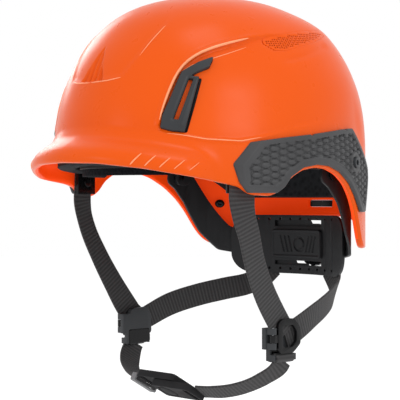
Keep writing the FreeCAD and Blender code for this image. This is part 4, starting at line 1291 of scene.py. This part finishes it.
NAPE_CENTRE_Y, NAPE_INSIDE, NAPE_OUTSIDE = -11.0, 108.9, 111.9


def on_nape(base, sense):
    """Placement by (x, z) on the upright nape plate's face of radius base; sense -1 rises inwards."""
    def place(x, z, rise):
        radius, angle = base + sense * rise, x / base
        return np.stack([radius * np.sin(angle), NAPE_CENTRE_Y + radius * np.cos(angle), z], -1)
    return place


def make_nape_insert():
    """Moulded grip block inside the nape plate: a round dimple between two rows of finger grooves."""
    def relief(x, z, edge):
        level = -34.75
        away = np.hypot(x - 1, z - level)
        groove = 1 - smooth(0.8, 1.2, np.abs(away - 5.2))
        for start in (9.5, 13.5, 17.5):
            for sign in (1, -1):
                bar = np.abs(x - 1 - sign * start - 0.28 * (z - level) * sign)
                groove = np.maximum(groove, (1 - smooth(0.65, 1.0, bar)) * (np.abs(z - level) < 6.4))
        return 0.5 * (1 - smooth(1.6, 2.1, edge)) - 0.95 * groove

    outline = [(-27, -46), (27, -46), (27, -23.5), (-27, -23.5)]
    insert = plate("nape_insert_moulding", on_nape(NAPE_INSIDE, -1), outline, 2.1, 0.42, (), relief,
                   corner=3, round_over=0.6)
    finish_piece(insert, "nape_cradle", "cradle_grey", "nape_insert")


FIN_RIVET, RIVET_RADIUS = (84, -3), 3.4
STRAP_BAR_SIDE = 76.7


def make_small_trim():
    """Trim that the CAD model leaves out: slot cap, guide rails, strap-bar covers and fin rivets."""
    def rear_wall(x, z, rise):
        y = CENTRE_Y + HALF_LENGTH * np.sqrt(1 - (x / HALF_WIDTH) ** 2) - 1.6 + rise
        return np.stack([x, y, z], -1)

    slot = [(-12.9, -5.4), (12.9, -5.4), (12.9, -0.1), (-12.9, -0.1)]
    cap = plate("rear_slot_cap", rear_wall, slot, 0.9, 0.8, corner=1.2, round_over=0.3)
    finish_piece(cap, "helmet", "buckle_black")

    low = [(-29, -57), (29, -57), (29, -52.2), (7, -52.2), (6, -50.6), (-6, -50.6), (-7, -48.2),
           (-29, -48.2)]
    high = [(-29, -15), (-29, -23), (29, -23), (29, -19), (11, -19), (8, -15)]
    rails = [plate(f"nape_rail_{name}", on_nape(NAPE_OUTSIDE, 1), outline, 1.3, 0.9, corner=1,
                   round_over=0.4) for name, outline in (("low", low), ("high", high))]
    finish_piece(join(rails), "nape_cradle", "cradle_grey")

    def inner_side(y, z, rise):
        return np.stack([STRAP_BAR_SIDE - rise, y, z], -1)

    bar_plate = [(-17.5, -101), (4.6, -101), (5.2, -112), (-17, -113.6)]
    pair(plate("strap_bar_cover_left", inner_side, bar_plate, 1.9, 0.6, corner=2.2, round_over=0.7),
         "buckle_black")

    def fin_inside(y, z, rise):
        return on_side(-SHELL_WALL - 1.4)(y, z, -rise)

    def rivet_crown(y, z, edge):
        return 0.8 * np.sqrt(np.clip(edge / RIVET_RADIUS, 0, 1)) - 0.5 * (edge > 2.4)

    disc = ellipse(FIN_RIVET, RIVET_RADIUS, RIVET_RADIUS, 20)
    pair(plate("fin_rivet_left", fin_inside, disc, 1.6, 0.5, (), rivet_crown, corner=0.2,
               round_over=0.4), "buckle_black")


# Widths in millimetres of the rounded edges of the pieces that keep their CAD shape.
MOULDED = {
    "headband_arm_left": 0.5, "headband_arm_right": 0.5, "temple_bracket_left": 0.5,
    "temple_bracket_right": 0.5, "arm_pivot_pins": 0.35, "nape_plate": 0.45, "ratchet_housing": 0.5,
    "ratchet_cover": 0.6, "ratchet_knob": 0.5, "knob_screw": 0.15, "cover_screws": 0.12,
    "strap_anchor_left": 0.4, "strap_anchor_right": 0.4, "anchor_rivets": 0.3, "divider_left": 0.45,
    "divider_right": 0.45, "cam_lever_left": 0.7, "cam_lever_right": 0.7, "cam_pin_left": 0.15,
    "cam_pin_right": 0.15, "buckle_catch": 0.7, "buckle_tongue": 0.7, "strap_keeper": 0.5,
    "accessory_socket_left": 0.3, "accessory_socket_right": 0.3, "size_rack_left": 0.12,
    "size_rack_right": 0.12, "pinion": 0.12,
}

make_shell()
make_panels()
make_vent_frames()
make_ribs()
make_perforations()
make_nape_insert()
for moulded_node, edge_width in MOULDED.items():
    moulding = moulded(moulded_node, f"{moulded_node}_moulding", edge_width)
    if moulded_node.startswith("buckle"):
        moulding.data.materials[0] = MATERIALS["buckle_matte"]
make_liner()
make_headband()
make_brow_pad()
make_crown_pads()
make_straps()
make_small_trim()

bpy.context.view_layer.update()
